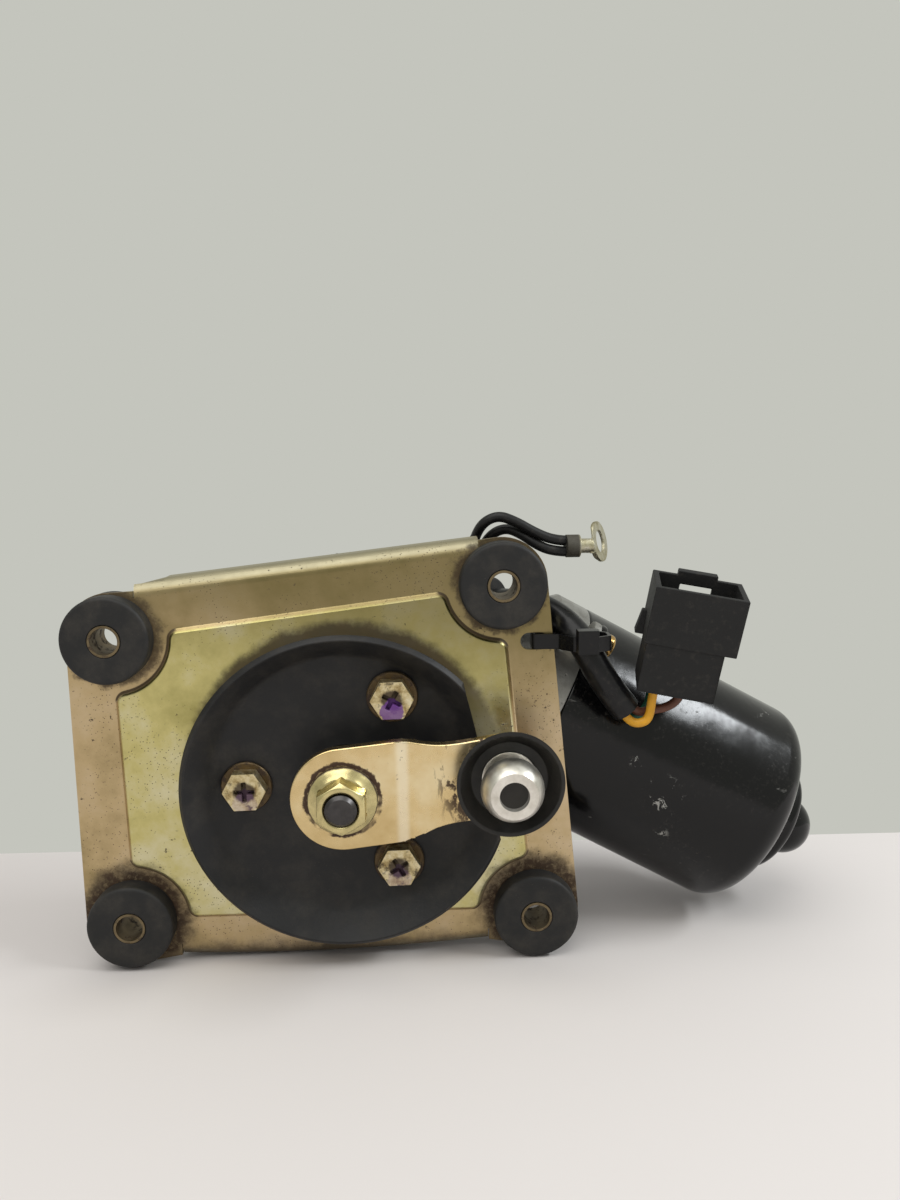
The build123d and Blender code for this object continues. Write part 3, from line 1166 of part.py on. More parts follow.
save(connector_housing, "connector_housing")

with BuildPart() as connector_terminals:
    with BuildSketch(CONNECTOR_BASE.offset(SHROUD_TOP - BLADE_DEPTH)):
        for x in (CONNECTOR_WIDTH * 0.3, CONNECTOR_WIDTH * 0.7):
            with Locations((x, CONNECTOR_DEPTH / 2)):
                Rectangle(BLADE_WIDTH, BLADE_T)
    extrude(amount=BLADE_DEPTH)
save(connector_terminals, "connector_terminals")

# ---- earth lead -------------------------------------------------------------
make_cord("earth_wire_a", EARTH_A_ROUTE, EARTH_D)
make_cord("earth_wire_b", EARTH_B_ROUTE, EARTH_D)

CRIMP_START = Vector(*CRIMP_END)
CRIMP_WAY = (Vector(*BARREL_END) - CRIMP_START).normalized()
BARREL_START = CRIMP_START + CRIMP_WAY * CRIMP_LENGTH
RING_LONG = Vector(cos(radians(RING_YAW)), sin(radians(RING_YAW)), 0)
RING_CENTRE = Vector(*BARREL_END) + RING_LONG * RING_R
RING_NORMAL = Vector(sin(radians(RING_YAW)), -cos(radians(RING_YAW)), 0)
with BuildPart() as ring_terminal:
    with BuildSketch(Plane(origin=CRIMP_START, z_dir=CRIMP_WAY)):
        Circle(CRIMP_R)
    extrude(amount=CRIMP_LENGTH)
    with BuildSketch(Plane(origin=BARREL_START, z_dir=CRIMP_WAY)):
        Circle(BARREL_R)
    extrude(amount=(Vector(*BARREL_END) - BARREL_START).length)
    with BuildSketch(Plane(origin=RING_CENTRE, x_dir=RING_LONG, z_dir=RING_NORMAL)):
        Circle(RING_R)
        Rectangle(RING_R + 1.5, 2 * BARREL_R, align=(Align.MAX, Align.CENTER))
        Circle(RING_HOLE_R, mode=Mode.SUBTRACT)
    extrude(amount=RING_T / 2, both=True)
save(ring_terminal, "ring_terminal")

# ---- cable tie --------------------------------------------------------------
TIE_LOOP = ((50.2, 4.8), (57.0, 4.4), (60.6, -0.2), (66.0, -1.6), (70.6, 0.6), (70.8, 5.6),
            (67.1, 9.2), (61.9, 14.7), (58.0, 15.7), (53.8, 15.0), (50.2, 8.8))
TIE_HEAD = (63.6, -2.9, 37.6)
with BuildPart() as cable_tie:
    with BuildSketch(Plane.XY.offset(SLOT_XZ[1] - TIE_WIDTH / 2)):
        with BuildLine():
            Polyline(*TIE_LOOP, close=True)
        make_face()
        fillet(vertices(), 1.2)
        offset(amount=-TIE_T, mode=Mode.SUBTRACT)
    extrude(amount=TIE_WIDTH)
    with Locations(TIE_HEAD):
        Box(5.4, 4.0, 6.2)
save(cable_tie, "cable_tie")
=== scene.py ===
"""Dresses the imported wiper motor: cords, detailed pieces, finishes and the studio round it.

Everything is in metres in the frame of the solids: X along the plate, Y back towards the
gear, Z up, with the crank's axis on the line x = 0, z = 0.
"""
import json
from math import atan2, cos, degrees, radians, sin

import bmesh
import bpy
from mathutils import Matrix, Vector

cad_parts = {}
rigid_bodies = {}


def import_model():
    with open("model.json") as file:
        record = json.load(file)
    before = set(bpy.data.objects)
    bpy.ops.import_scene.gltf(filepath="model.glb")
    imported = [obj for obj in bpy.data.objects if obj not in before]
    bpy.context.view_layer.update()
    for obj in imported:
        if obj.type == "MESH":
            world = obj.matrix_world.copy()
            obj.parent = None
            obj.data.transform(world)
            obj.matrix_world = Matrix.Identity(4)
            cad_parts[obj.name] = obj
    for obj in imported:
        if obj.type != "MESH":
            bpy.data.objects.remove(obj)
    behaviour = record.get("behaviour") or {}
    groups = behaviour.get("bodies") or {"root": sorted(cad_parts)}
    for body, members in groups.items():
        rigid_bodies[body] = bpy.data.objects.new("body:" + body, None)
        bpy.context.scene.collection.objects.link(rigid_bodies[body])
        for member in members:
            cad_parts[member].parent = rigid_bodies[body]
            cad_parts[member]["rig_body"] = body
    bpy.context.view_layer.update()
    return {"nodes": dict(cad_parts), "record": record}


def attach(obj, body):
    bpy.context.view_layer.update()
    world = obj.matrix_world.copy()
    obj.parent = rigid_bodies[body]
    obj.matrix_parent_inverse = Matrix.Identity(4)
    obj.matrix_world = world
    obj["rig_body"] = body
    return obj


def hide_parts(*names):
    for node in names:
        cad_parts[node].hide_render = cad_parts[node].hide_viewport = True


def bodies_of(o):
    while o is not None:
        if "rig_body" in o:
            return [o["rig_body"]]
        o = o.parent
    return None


bl_info = {
    "name": "Wiper Motor",
    "version": (1, 0, 0),
    "blender": (4, 5, 0),
    "location": "View3D > Sidebar > Wiper Motor",
    "description": "Builds a windscreen wiper motor around its packed solids",
    "category": "Object",
}

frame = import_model()
NODES = frame["nodes"]
MM = 0.001

# ---- places on the part, in metres unless a comment says millimetres --------------
GROMMETS = {"upper_left": (-60.5, 40.0), "upper_right": (42.4, 52.0),
            "lower_right": (50.6, -39.2), "lower_left": (-59.2, -38.5)}     # millimetres
PAD_RADIUS = 14.8 * MM          # low pad round each grommet
SCREW_CIRCLE = 26.4 * MM
SCREW_ANGLES = (61, 181, 301)   # degrees
DAUBED_SCREW = 61               # the one with the thick inspection paint
RIM_FRONT = 6 * MM              # depth of the plate's flat rim
RIM_REAR = 7.4 * MM
BEND_RADIUS = 4 * MM
TOP_BEND_START = (-54 * MM, 54.3 * MM)
TOP_BEND_RISE = 0.1074          # height gained for each step to the right
TOP_BEND_CUT = -46 * MM         # where the run-out of the top bend begins
BOTTOM_BEND_ENDS = (-47 * MM, 38 * MM)
BOTTOM_RIM = -48.5 * MM
NUT_CENTRE = (0, 0)
BALL_CENTRE = (42.27 * MM, 4.44 * MM)
BALL_HOLE = 3.75 * MM
JOGGLE = 15.2 * MM              # the arm's step, to the right of its shaft
SEAL_LIP_START = 34 * MM
SEAL_RIM = 42 * MM
MOTOR_SLOPE = radians(28.94)
CRIMP_END = 65 * MM

# Places on the can where the enamel is chipped: centre, reach, level of the flakes.
CHIPS = (((0.087, 0.0098, -0.0087), 7 * MM, 0.585),
         ((0.0795, 0.0095, 0.0012), 3 * MM, 0.57),
         ((0.1025, 0.0133, -0.0118), 3.5 * MM, 0.58),
         ((0.0875, 0.0128, -0.0200), 3.5 * MM, 0.58),
         ((0.1235, 0.0285, -0.0130), 9 * MM, 0.62),
         ((0.1190, 0.0300, 0.0030), 9 * MM, 0.63))

# Turned profiles, millimetres: (along the axis, out from it).
GROMMET_PROFILE = (
    (0.3, 4.25), (0.05, 4.5), (0, 4.9), (0, 10.4), (0.08, 10.85), (0.3, 11.2),
    (0.65, 11.43), (1.1, 11.5), (5.1, 11.5), (5.55, 11.4), (5.85, 11.1), (5.98, 10.7),
    (5.98, 7.0), (7.42, 7.0), (7.42, 10.7), (7.55, 11.1), (7.85, 11.4), (8.3, 11.5),
    (11.6, 11.5), (12.05, 11.43), (12.4, 11.2), (12.62, 10.85), (12.7, 10.4),
    (12.7, 4.9), (12.65, 4.5), (12.4, 4.25))
NUT_FLANGE_PROFILE = (
    (-11.2, 4.05), (-11.2, 8.7), (-11.45, 8.9), (-12.1, 8.9), (-12.5, 8.6), (-13.1, 7.6),
    (-13.6, 6.9), (-14.0, 6.5), (-14.0, 4.05))
NUT_CORNER_PROFILE = (
    (-11.9, 4.05), (-11.9, 8), (-17.6, 8), (-17.7, 7.0), (-18.6, 5.6), (-18.6, 4.7),
    (-18.1, 4.05))
HEXAGON_RADIUS = 6.93 * MM      # centre to corner
HEXAGON_HEIGHT = 6.6 * MM
HEXAGON_MIDDLE = (0, -15.3 * MM, 0)

# ---- the harness, in millimetres; lengths in metres -------------------------------
CONNECTOR_ORIGIN = Vector((76.2, -1.3, 23.9))
CONNECTOR_TURN = radians(8.25)
CONNECTOR_TIP = radians(10.9)
CONNECTOR_YAW = radians(-9.2)
CONNECTOR_STEP = 13.5           # height of the moulded step line
BARREL_END = Vector((68.5, 16.7, 60.4))
EYELET_LEAN = radians(-13)
SHEATH_ROUTE = ((42.0, 26.6, 43.6), (49.6, 19.9, 44.8), (57.6, 13.2, 42.4),
                (63.6, 5.0, 36.4), (67.6, 3.2, 28.2), (71.5, 3.3, 22.2), (75.2, 3.9, 17.4))
EARTH_A_ROUTE = ((19.2, 39.0, 47.165), (22.6, 39.0, 53.25), (27.0, 34.0, 58.0),
                 (35.6, 22.8, 60.2), (37.7, 17.4, 66.8), (42.3, 16.2, 69.3),
                 (47.0, 15.8, 67.6), (52.4, 15.6, 64.4), (57.3, 15.76, 62.3),
                 (60.78, 16.2, 62.0))
EARTH_B_ROUTE = ((22.9, 39.0, 45.11), (26.3, 39.0, 51.25), (30.4, 35.0, 55.4),
                 (37.8, 24.8, 58.2), (40.6, 20.0, 63.8), (44.9, 19.3, 65.6),
                 (48.8, 17.6, 64.0), (53.0, 15.9, 61.0), (57.1, 15.76, 59.3),
                 (60.76, 16.2, 59.0))
EARTH_WIRES = (("earth_wire_a", EARTH_A_ROUTE, 0.0624), ("earth_wire_b", EARTH_B_ROUTE, 0.0566))

# Each motor wire: its angle round the sheath's end, its entry to the connector as
# (across, back), and the points between.
WIRES = {"wire_yellow": (40, (5.5, 4.0), (78.2, 1.7, 14.0), (81.0, 1.5, 15.2)),
         "wire_green": (160, (5.5, 11.0), (79.7, 6.7, 15.0), (82.4, 7.5, 17.8)),
         "wire_brown": (280, (13.0, 7.0), (82.2, 4.5, 16.9), (86.8, 4.2, 17.7))}
WIRE_RING = 1.75                # from the sheath's axis to each wire's
WIRE_LEAD = 2.6                 # straight run out of the sheath
WIRE_ENTRY = 2.8                # straight run into the connector

# ---- the view and the studio ------------------------------------------------------
CAMERA_PLACE = (0.01933, -0.24536, 0.08725)
CAMERA_PITCH = radians(8.894)
CAMERA_YAW = radians(2.121)
CAMERA_ROLL = radians(0.989)
FLOOR_FAR_EDGE = (0.0306, 0.1014, -0.0602)
FLOOR_LEAN = atan2(-2.9, 32.3)
FLOOR_TURN = radians(-1.24)
FLOOR_SIZE = (1.8, 1.1)
LAMP_TARGET = Vector((0.02, 0.02, 0))

# ---- making of meshes -------------------------------------------------------------
SEAM_GAP = 2e-6                 # points of one solid closer than this are one point
SAME_POINT = 1e-6
SAME_PLACE = 0.05 * MM
FLAT_ANGLE = radians(0.6)       # faces that turn by less than this are joined


# ---- material nodes -----------------------------------------------------------
class Signal:
    """One output in a material; arithmetic on it adds the Math nodes."""

    def __init__(self, paint, socket):
        self.paint = paint
        self.socket = socket

    def __add__(self, other):
        return self.paint.maths("ADD", self, other)

    def __sub__(self, other):
        return self.paint.maths("SUBTRACT", self, other)

    def __rsub__(self, other):
        return self.paint.maths("SUBTRACT", other, self)

    def __mul__(self, other):
        return self.paint.maths("MULTIPLY", self, other)

    __radd__ = __add__
    __rmul__ = __mul__

    def larger(self, other):
        """The larger of two values at each point."""
        return self.paint.maths("MAXIMUM", self, other)

    def gap_to(self, other):
        """How far this value is from the other, on either side."""
        return self.paint.maths("ABSOLUTE", self - other)

    def from_to(self, low, high):
        """0 at low, 1 at high, smooth between; low may be the larger."""
        sockets = {"Value": self, "From Min": low, "From Max": high}
        settings = {"interpolation_type": "SMOOTHSTEP"}
        return self.paint.node("ShaderNodeMapRange", settings, sockets)


class Paint:
    """A material with one Principled surface."""

    def __init__(self, name, **fixed):
        self.material = bpy.data.materials.new(name)
        self.material.use_nodes = True
        self.tree = self.material.node_tree
        self.surface = self.tree.nodes["Principled BSDF"]
        for socket, value in fixed.items():
            self.set(socket.replace("_", " "), value)

    def put(self, socket, value):
        """Links a signal to a socket, or sets a constant on it."""
        if isinstance(value, Signal):
            self.tree.links.new(value.socket, socket)
        elif hasattr(value, "__len__") and socket.type == "RGBA":
            socket.default_value = (*value[:3], 1)
        else:
            socket.default_value = value

    def set(self, name, value):
        """Feeds one input of the surface."""
        self.put(self.surface.inputs[name], value)

    def node(self, kind, settings=None, sockets=None, output=0):
        """Adds a node and returns one of its outputs."""
        made = self.tree.nodes.new(kind)
        for name, value in (settings or {}).items():
            if name == "stops":
                ramp = made.color_ramp
                while len(ramp.elements) < len(value):
                    ramp.elements.new(1)
                for element, (position, colour) in zip(ramp.elements, value):
                    element.position = position
                    element.color = (*colour[:3], 1)
            else:
                setattr(made, name, value)
        for name, value in (sockets or {}).items():
            self.put(made.inputs[name], value)
        return Signal(self, made.outputs[output])

    def maths(self, operation, *values):
        """One Math node over its values."""
        settings = {"operation": operation}
        return self.node("ShaderNodeMath", settings, dict(enumerate(values)))

    def place(self):
        """The point in the part's own frame."""
        return self.node("ShaderNodeTexCoord", output="Object")

    def axes(self):
        """Across, depth and height of the point."""
        sockets = {"Vector": self.place()}
        return [self.node("ShaderNodeSeparateXYZ", None, sockets, axis) for axis in "XYZ"]

    def stretched(self, scale, turn=(0, 0, 0)):
        """The point, turned and scaled, so that a texture on it is drawn out."""
        sockets = {"Vector": self.place(), "Scale": scale, "Rotation": turn}
        return self.node("ShaderNodeMapping", None, sockets)

    def noise(self, scale, detail=3, rough=0.55, where=None, twist=0):
        sockets = {"Vector": where or self.place(), "Scale": scale, "Detail": detail,
                   "Roughness": rough, "Distortion": twist}
        return self.node("ShaderNodeTexNoise", None, sockets)

    def cells(self, scale):
        """Distance from the nearest of many scattered points."""
        sockets = {"Vector": self.place(), "Scale": scale}
        return self.node("ShaderNodeTexVoronoi", None, sockets, "Distance")

    def mix(self, share, first, second):
        """The first colour, and by its share the second over it."""
        settings = {"data_type": "RGBA"}
        return self.node("ShaderNodeMix", settings, {0: share, 6: first, 7: second}, 2)

    def ramp(self, value, *stops):
        """A colour for each value, between (value, colour) stops."""
        return self.node("ShaderNodeValToRGB", {"stops": stops}, {"Fac": value})

    def bump(self, height, depth, over=None):
        """A fine relief, of its depth in metres, over another if there is one."""
        sockets = {"Height": height, "Distance": depth}
        if over:
            sockets["Normal"] = over
        return self.node("ShaderNodeBump", None, sockets)

    def distance_to(self, x, z):
        """Distance from the front-to-back line through (x, z)."""
        across, _, height = self.axes()
        dx = across - x
        dz = height - z
        return self.maths("SQRT", dx * dx + dz * dz)


def srgb(*values):
    """Linear colour from screen values between 0 and 255."""
    shares = [value / 255 for value in values]
    return tuple(v / 12.92 if v < 0.0404 else ((v + 0.055) / 1.055) ** 2.4 for v in shares)


def darker_and_lighter(tone, low, high):
    """A tone scaled down and scaled up, no brighter than white."""
    return [c * low for c in tone], [min(1, c * high) for c in tone]


DIRT = srgb(52, 36, 22)


def finish_metal(paint, colour, rough, grime, grain=0.00002, dirt=DIRT):
    """Sets a worn metal's colour, roughness and bump from its colour and a grime mask."""
    fine = paint.noise(900, 2)
    wear = paint.noise(160, 4)
    paint.set("Base Color", paint.mix(grime, colour, dirt))
    paint.set("Metallic", 1 - grime * 0.9)
    paint.set("Roughness", (wear * 0.24 + (rough - 0.12)) + grime * 0.3)
    paint.set("Normal", paint.bump(fine + grime * 1.5, grain))


def plate_zinc():
    """Yellow passivated plate: straw panel and tan rim with grime round the grommets; painted
    shade darkens it towards the top, round the seal, along the bottom edge and, with dirt, at the
    foot of the pad steps; a pale colour on the bends is a painted highlight.
    """
    paint = Paint("plate_yellow_zinc")
    across, depth, height = paint.axes()
    clouds = paint.noise(26, 4, 0.6)
    patches = paint.noise(90, 5, 0.65)
    tint = clouds * 0.6 + patches * 0.4
    rim = paint.ramp(tint, (0.34, srgb(150, 132, 92)), (0.5, srgb(192, 170, 130)),
                     (0.66, srgb(208, 188, 156)))
    panel = paint.ramp(tint, (0.32, srgb(158, 150, 92)), (0.48, srgb(200, 190, 128)),
                       (0.66, srgb(222, 216, 186)))
    raised = depth.from_to(5.5 * MM, 4.9 * MM)
    colour = paint.mix(raised, rim, panel)
    shade = (height + across * 0.18).from_to(20 * MM, 52 * MM)
    colour = paint.mix(shade * 0.75, colour, srgb(118, 108, 70))
    # Painted highlight: a pale grey mixed into the bent edges, so that their highlight looks
    # whitish.
    bent = depth.from_to(RIM_FRONT + 0.02 * MM, RIM_FRONT + 0.8 * MM)
    colour = paint.mix(bent * 0.75, colour, srgb(172, 166, 142))

    ragged = paint.noise(210, 6, 0.7)
    fine = paint.noise(620, 4, 0.7)
    on_rim = depth.from_to(RIM_FRONT - 0.005 * MM, RIM_FRONT - 0.04 * MM)
    foot = depth.from_to(5.1 * MM, 5.7 * MM) * on_rim
    grime = fine.from_to(0.62, 0.7) * paint.noise(60, 3).from_to(0.42, 0.6)
    for name, (x, z) in GROMMETS.items():
        low = name.startswith("lower")
        away = paint.distance_to(x * MM, z * MM)
        clean, black = (22.5 * MM, 17 * MM) if low else (18.6 * MM, 16.4 * MM)
        soot = (away + ragged * 9 * MM).from_to(clean, black)
        soot = soot * (fine.from_to(0.25, 0.55) * 0.4 + 0.6) * (1 if low else 0.8)
        # Dirt and painted shade in a thin line along the foot of each pad's step.
        crease_dirt_and_shade = away.gap_to(PAD_RADIUS + 0.6 * MM).from_to(2.2 * MM, 1.2 * MM) * foot
        grime = grime.larger(soot).larger(crease_dirt_and_shade * 0.85)
    # Painted shadow on the plate round the seal's proud rim, strongest above it. From here on the
    # grime mask carries painted shade as well as dirt.
    seal_shadow = (paint.distance_to(0, 0) + ragged * 5 * MM).from_to(47 * MM, 44 * MM)
    grime = grime.larger(seal_shadow * (height.from_to(0, 30 * MM) * 0.6 + 0.25))
    # Painted shade along the bottom edge, where the bend turns down.
    bottom_shade = (height * -1 + ragged * 8 * MM).from_to(48 * MM, 54 * MM)
    grime = grime.larger(bottom_shade * 0.8)
    specks = paint.cells(1250).from_to(0.2, 0.1) * paint.noise(45, 2).from_to(0.46, 0.58)
    grime = grime.larger(specks)
    # Dark brown for the dirt, and for the painted shade that the grime mask also carries.
    dirt = paint.mix(paint.noise(150, 3), srgb(34, 26, 17), srgb(76, 54, 32))
    scratch = paint.noise(420, 2, 0.5, paint.stretched((1, 1, 0.05), (0, radians(24), 0)))
    paint.set("Base Color", paint.mix(grime, colour, dirt))
    paint.set("Metallic", 1 - grime * 0.92)
    paint.set("Roughness", patches * 0.26 + scratch * 0.12 + 0.16 + grime * 0.4 + bent * 0.14)
    paint.set("Normal", paint.bump(paint.noise(1300, 2) + grime * 2, 0.000018,
                                   paint.bump(clouds, 0.0006)))
    return paint.material


def worn_steel(name, tone, rough=0.36, amount=0.5, spots=()):
    """Zinc plated steel, with grime collecting in patches, and darker rings round the given
    front-to-back lines.
    """
    paint = Paint(name)
    patches = paint.noise(140, 5, 0.65)
    dark, light = darker_and_lighter(tone, 0.62, 1.25)
    colour = paint.ramp(patches, (0.3, dark), (0.52, tone), (0.7, light))
    grime = paint.noise(380, 5, 0.7).from_to(0.72 - 0.2 * amount, 0.86 - 0.2 * amount)
    for x, z, radius, spread in spots:
        away = paint.distance_to(x, z) + paint.noise(500, 4) * spread
        ring = away.gap_to(radius + spread / 2)
        grime = grime.larger(ring.from_to(spread, spread * 0.3))
    finish_metal(paint, colour, rough, grime)
    return paint.material


def arm_zinc():
    """Pale gold zinc on the crank arm: clear in the middle, darker in a ragged ring round the nut,
    stained near the boot, with a painted highlight along the joggle.
    """
    paint = Paint("arm_gold_zinc")
    across = paint.axes()[0]
    clouds = paint.noise(60, 4, 0.6)
    colour = paint.ramp(clouds, (0.32, srgb(200, 174, 122)), (0.5, srgb(220, 196, 146)),
                        (0.68, srgb(232, 214, 172)))
    ragged = paint.noise(420, 5, 0.7)
    # A darker ragged ring on the arm just outside the nut's flange.
    grime = (paint.distance_to(*NUT_CENTRE) + ragged * 2.6 * MM).gap_to(10.75 * MM)
    grime = grime.from_to(0.8 * MM, 0.35 * MM) * paint.noise(150, 3).from_to(0.36, 0.5)
    near_boot = paint.distance_to(*BALL_CENTRE).from_to(21 * MM, 15 * MM)
    streaks = paint.noise(300, 5, 0.7, paint.stretched((1, 1, 0.35), (0, radians(20), 0)), 0.6)
    grime = grime.larger(streaks.from_to(0.52, 0.58) * near_boot * 0.95)
    nicks = paint.noise(700, 3, 0.7).from_to(0.68, 0.72) * clouds.from_to(0.45, 0.6)
    grime = grime.larger(nicks * 0.8)
    # Painted highlight: a pale band along the joggle stands for the light caught by its step.
    joggle_highlight = across.gap_to(JOGGLE).from_to(2.2 * MM, 0.6 * MM)
    colour = paint.mix(joggle_highlight * 0.4, colour, srgb(252, 246, 226))
    paint.set("Base Color", paint.mix(grime, colour, srgb(66, 44, 26)))
    paint.set("Metallic", 1 - grime * 0.9)
    paint.set("Roughness", clouds * 0.2 + ragged * 0.1 + 0.12 + grime * 0.35)
    paint.set("Normal", paint.bump(paint.noise(900, 2) + grime, 0.00002))
    return paint.material


def rubber(name, tone=(0.0125, 0.0125, 0.0125), dust=0.35, gloss=0.5):
    """Moulded black rubber, dusty in patches and specks."""
    paint = Paint(name, Specular_IOR_Level=0.32)
    clouds = paint.noise(120, 4, 0.6)
    powder = paint.noise(700, 4, 0.7) * clouds.from_to(0.38, 0.7) * dust
    specks = paint.cells(900).from_to(0.13, 0.05) * paint.noise(70, 2).from_to(0.5, 0.6) * dust
    colour = paint.mix(powder.larger(specks), tone, srgb(112, 104, 92))
    paint.set("Base Color", colour)
    paint.set("Roughness", clouds * 0.25 + gloss)
    paint.set("Normal", paint.bump(paint.noise(1500, 3), 0.00003, paint.bump(clouds, 0.0002)))
    return paint.material


def moulded(name, tone, gloss=0.42, dust=0.15, depth=0.00002, grain=2200):
    """Plain moulded plastic with a fine texture."""
    paint = Paint(name, Specular_IOR_Level=0.3)
    clouds = paint.noise(90, 4, 0.6)
    dark, light = darker_and_lighter(tone, 0.8, 1.12)
    colour = paint.ramp(clouds, (0.3, dark), (0.7, light))
    powder = paint.noise(500, 4, 0.7).from_to(0.5, 0.8) * dust
    paint.set("Base Color", paint.mix(powder, colour, srgb(120, 112, 100)))
    paint.set("Roughness", clouds * 0.2 + gloss)
    paint.set("Normal", paint.bump(paint.noise(grain, 2), depth))
    return paint.material


def can_paint():
    """Gloss black enamel over steel: faint ripple, dust, scuffs and bare chips."""
    paint = Paint("can_black_enamel", Specular_IOR_Level=0.3)
    ripple = paint.noise(60, 3, 0.5)
    film = paint.noise(34, 4, 0.6)
    dust = paint.noise(900, 4, 0.7).from_to(0.5, 0.8) * film.from_to(0.4, 0.7)
    along = paint.stretched((0.12, 1, 1), (0, -MOTOR_SLOPE, 0))
    scuffs = paint.noise(520, 3, 0.6, along).from_to(0.66, 0.74)
    scuffs = scuffs * paint.noise(38, 2).from_to(0.52, 0.62)
    flakes = paint.noise(330, 4, 0.75, None, 0.8)
    bare = scuffs * 0.5
    for place, reach, level in CHIPS:
        away = paint.node("ShaderNodeVectorMath", {"operation": "DISTANCE"},
                          {0: paint.place(), 1: place}, 1)
        near = away.from_to(reach, reach * 0.5)
        bare = bare.larger(flakes.from_to(level, level + 0.02) * near)
    colour = paint.mix(dust * 0.12, (0.003, 0.003, 0.0032), srgb(140, 132, 122))
    paint.set("Base Color", paint.mix(bare, colour, srgb(146, 145, 140)))
    paint.set("Roughness", film * 0.12 + dust * 0.2 + bare * 0.3 + 0.1)
    paint.set("Normal", paint.bump(bare * -1, 0.00006, paint.bump(ripple, 0.00022)))
    return paint.material


def cast_alloy():
    """As-cast grey alloy with pitting, staining and dirt in patches and pits."""
    paint = Paint("housing_cast_alloy")
    clouds = paint.noise(70, 5, 0.65)
    skin = paint.noise(420, 5, 0.7)
    pits = paint.cells(520).from_to(0.22, 0.08)
    colour = paint.ramp(clouds, (0.3, srgb(118, 116, 110)), (0.55, srgb(160, 159, 154)),
                        (0.75, srgb(182, 181, 176)))
    grime = paint.noise(120, 6, 0.75).from_to(0.55, 0.75).larger(pits * 0.5)
    paint.set("Base Color", paint.mix(grime * 0.75, colour, srgb(58, 50, 40)))
    paint.set("Metallic", 0.85 - grime * 0.6)
    paint.set("Roughness", skin * 0.2 + 0.42)
    paint.set("Normal", paint.bump(skin - pits * 0.6, 0.00012))
    return paint.material


def tinned_metal():
    """Tarnished tin on brass, in dull straw patches, with a dark sleeve over its crimp."""
    paint = Paint("terminal_tinned")
    clouds = paint.noise(260, 5, 0.65)
    colour = paint.ramp(clouds, (0.32, srgb(140, 130, 96)), (0.5, srgb(186, 180, 154)),
                        (0.7, srgb(206, 203, 190)))
    sleeve = paint.axes()[0].from_to(CRIMP_END, CRIMP_END - 0.8 * MM) * 0.92
    stain = paint.noise(700, 4, 0.7).from_to(0.64, 0.8)
    finish_metal(paint, colour, 0.4, sleeve.larger(stain), dirt=srgb(34, 31, 27))
    return paint.material


def ball_steel():
    """Bright steel with a soft grey haze and turning marks, and painted shade in the hole in its
    face.
    """
    paint = Paint("ball_bright_steel")
    haze = paint.noise(300, 4, 0.6)
    away = paint.distance_to(*BALL_CENTRE)
    turning = paint.maths("SINE", away * 9000) * 0.5 + 0.5
    colour = paint.ramp(haze, (0.3, srgb(204, 199, 188)), (0.65, srgb(236, 232, 224)))
    # Painted shade: the hole in the ball's face is painted dark.
    dark = away.from_to(BALL_HOLE, BALL_HOLE - 0.35 * MM)
    paint.set("Base Color", paint.mix(dark, colour, srgb(40, 37, 33)))
    paint.set("Metallic", 1 - dark * 0.8)
    paint.set("Roughness", haze * 0.2 + 0.27 + dark * 0.2)
    paint.set("Normal", paint.bump(turning * 0.4 + haze, 0.00001))
    return paint.material


def marked_screws():
    """Hexagon screw heads, darker in and round their recesses, with daubs of violet inspection
    paint.
    """
    paint = Paint("screw_zinc_marked")
    patches = paint.noise(320, 5, 0.7)
    colour = paint.ramp(patches, (0.34, srgb(150, 128, 84)), (0.5, srgb(206, 190, 146)),
                        (0.68, srgb(232, 222, 192)))
    grime = paint.noise(520, 5, 0.7).from_to(0.52, 0.68) * 0.8
    daub = None
    for angle in SCREW_ANGLES:
        x = SCREW_CIRCLE * cos(radians(angle))
        z = SCREW_CIRCLE * sin(radians(angle))
        recess = paint.distance_to(x, z) + patches * 2.4 * MM
        grime = grime.larger(recess.from_to(4.5 * MM, 3.4 * MM) * 0.9)
        patch = paint.distance_to(x, z - 3.0 * MM) + paint.noise(600, 3) * 2.4 * MM
        patch = patch.from_to(4.6 * MM, 4.1 * MM) * (1.0 if angle == DAUBED_SCREW else 0.28)
        daub = daub.larger(patch) if daub else patch
    colour = paint.mix(grime, colour, DIRT)
    paint.set("Base Color", paint.mix(daub * 0.85, colour, srgb(98, 44, 132)))
    paint.set("Metallic", (1 - grime * 0.8) * (1 - daub * 0.9))
    paint.set("Roughness", patches * 0.25 + 0.28 + grime * 0.25)
    paint.set("Normal", paint.bump(patches + daub * 0.6, 0.00008))
    return paint.material


def wound_copper():
    """Enamelled wire: fine ribs over copper red."""
    paint = Paint("copper_windings")
    haze = paint.noise(40, 2)
    ribs = paint.node("ShaderNodeTexWave", {"wave_type": "BANDS", "bands_direction": "DIAGONAL"},
                      {"Vector": paint.place(), "Scale": 420, "Distortion": 1.2, "Detail": 1},
                      "Fac")
    colour = paint.mix(ribs, srgb(92, 38, 18), srgb(190, 104, 58))
    paint.set("Base Color", paint.mix(haze * 0.4, colour, srgb(120, 56, 26)))
    paint.set("Metallic", ribs * 0.4 + 0.5)
    paint.set("Roughness", haze * 0.2 + 0.25)
    paint.set("Normal", paint.bump(ribs, 0.00012))
    return paint.material


def laminated_steel():
    """Stacked sheet steel: thin rings across the motor's axis."""
    paint = Paint("core_laminations")
    layers = paint.node("ShaderNodeTexWave", {"bands_direction": "X"},
                        {"Vector": paint.stretched((1, 1, 1), (0, MOTOR_SLOPE, 0)), "Scale": 320},
                        "Fac")
    finish_metal(paint, paint.mix(layers, srgb(60, 62, 66), srgb(120, 122, 126)), 0.42,
                 paint.noise(200, 4).from_to(0.55, 0.75) * 0.5)
    return paint.material


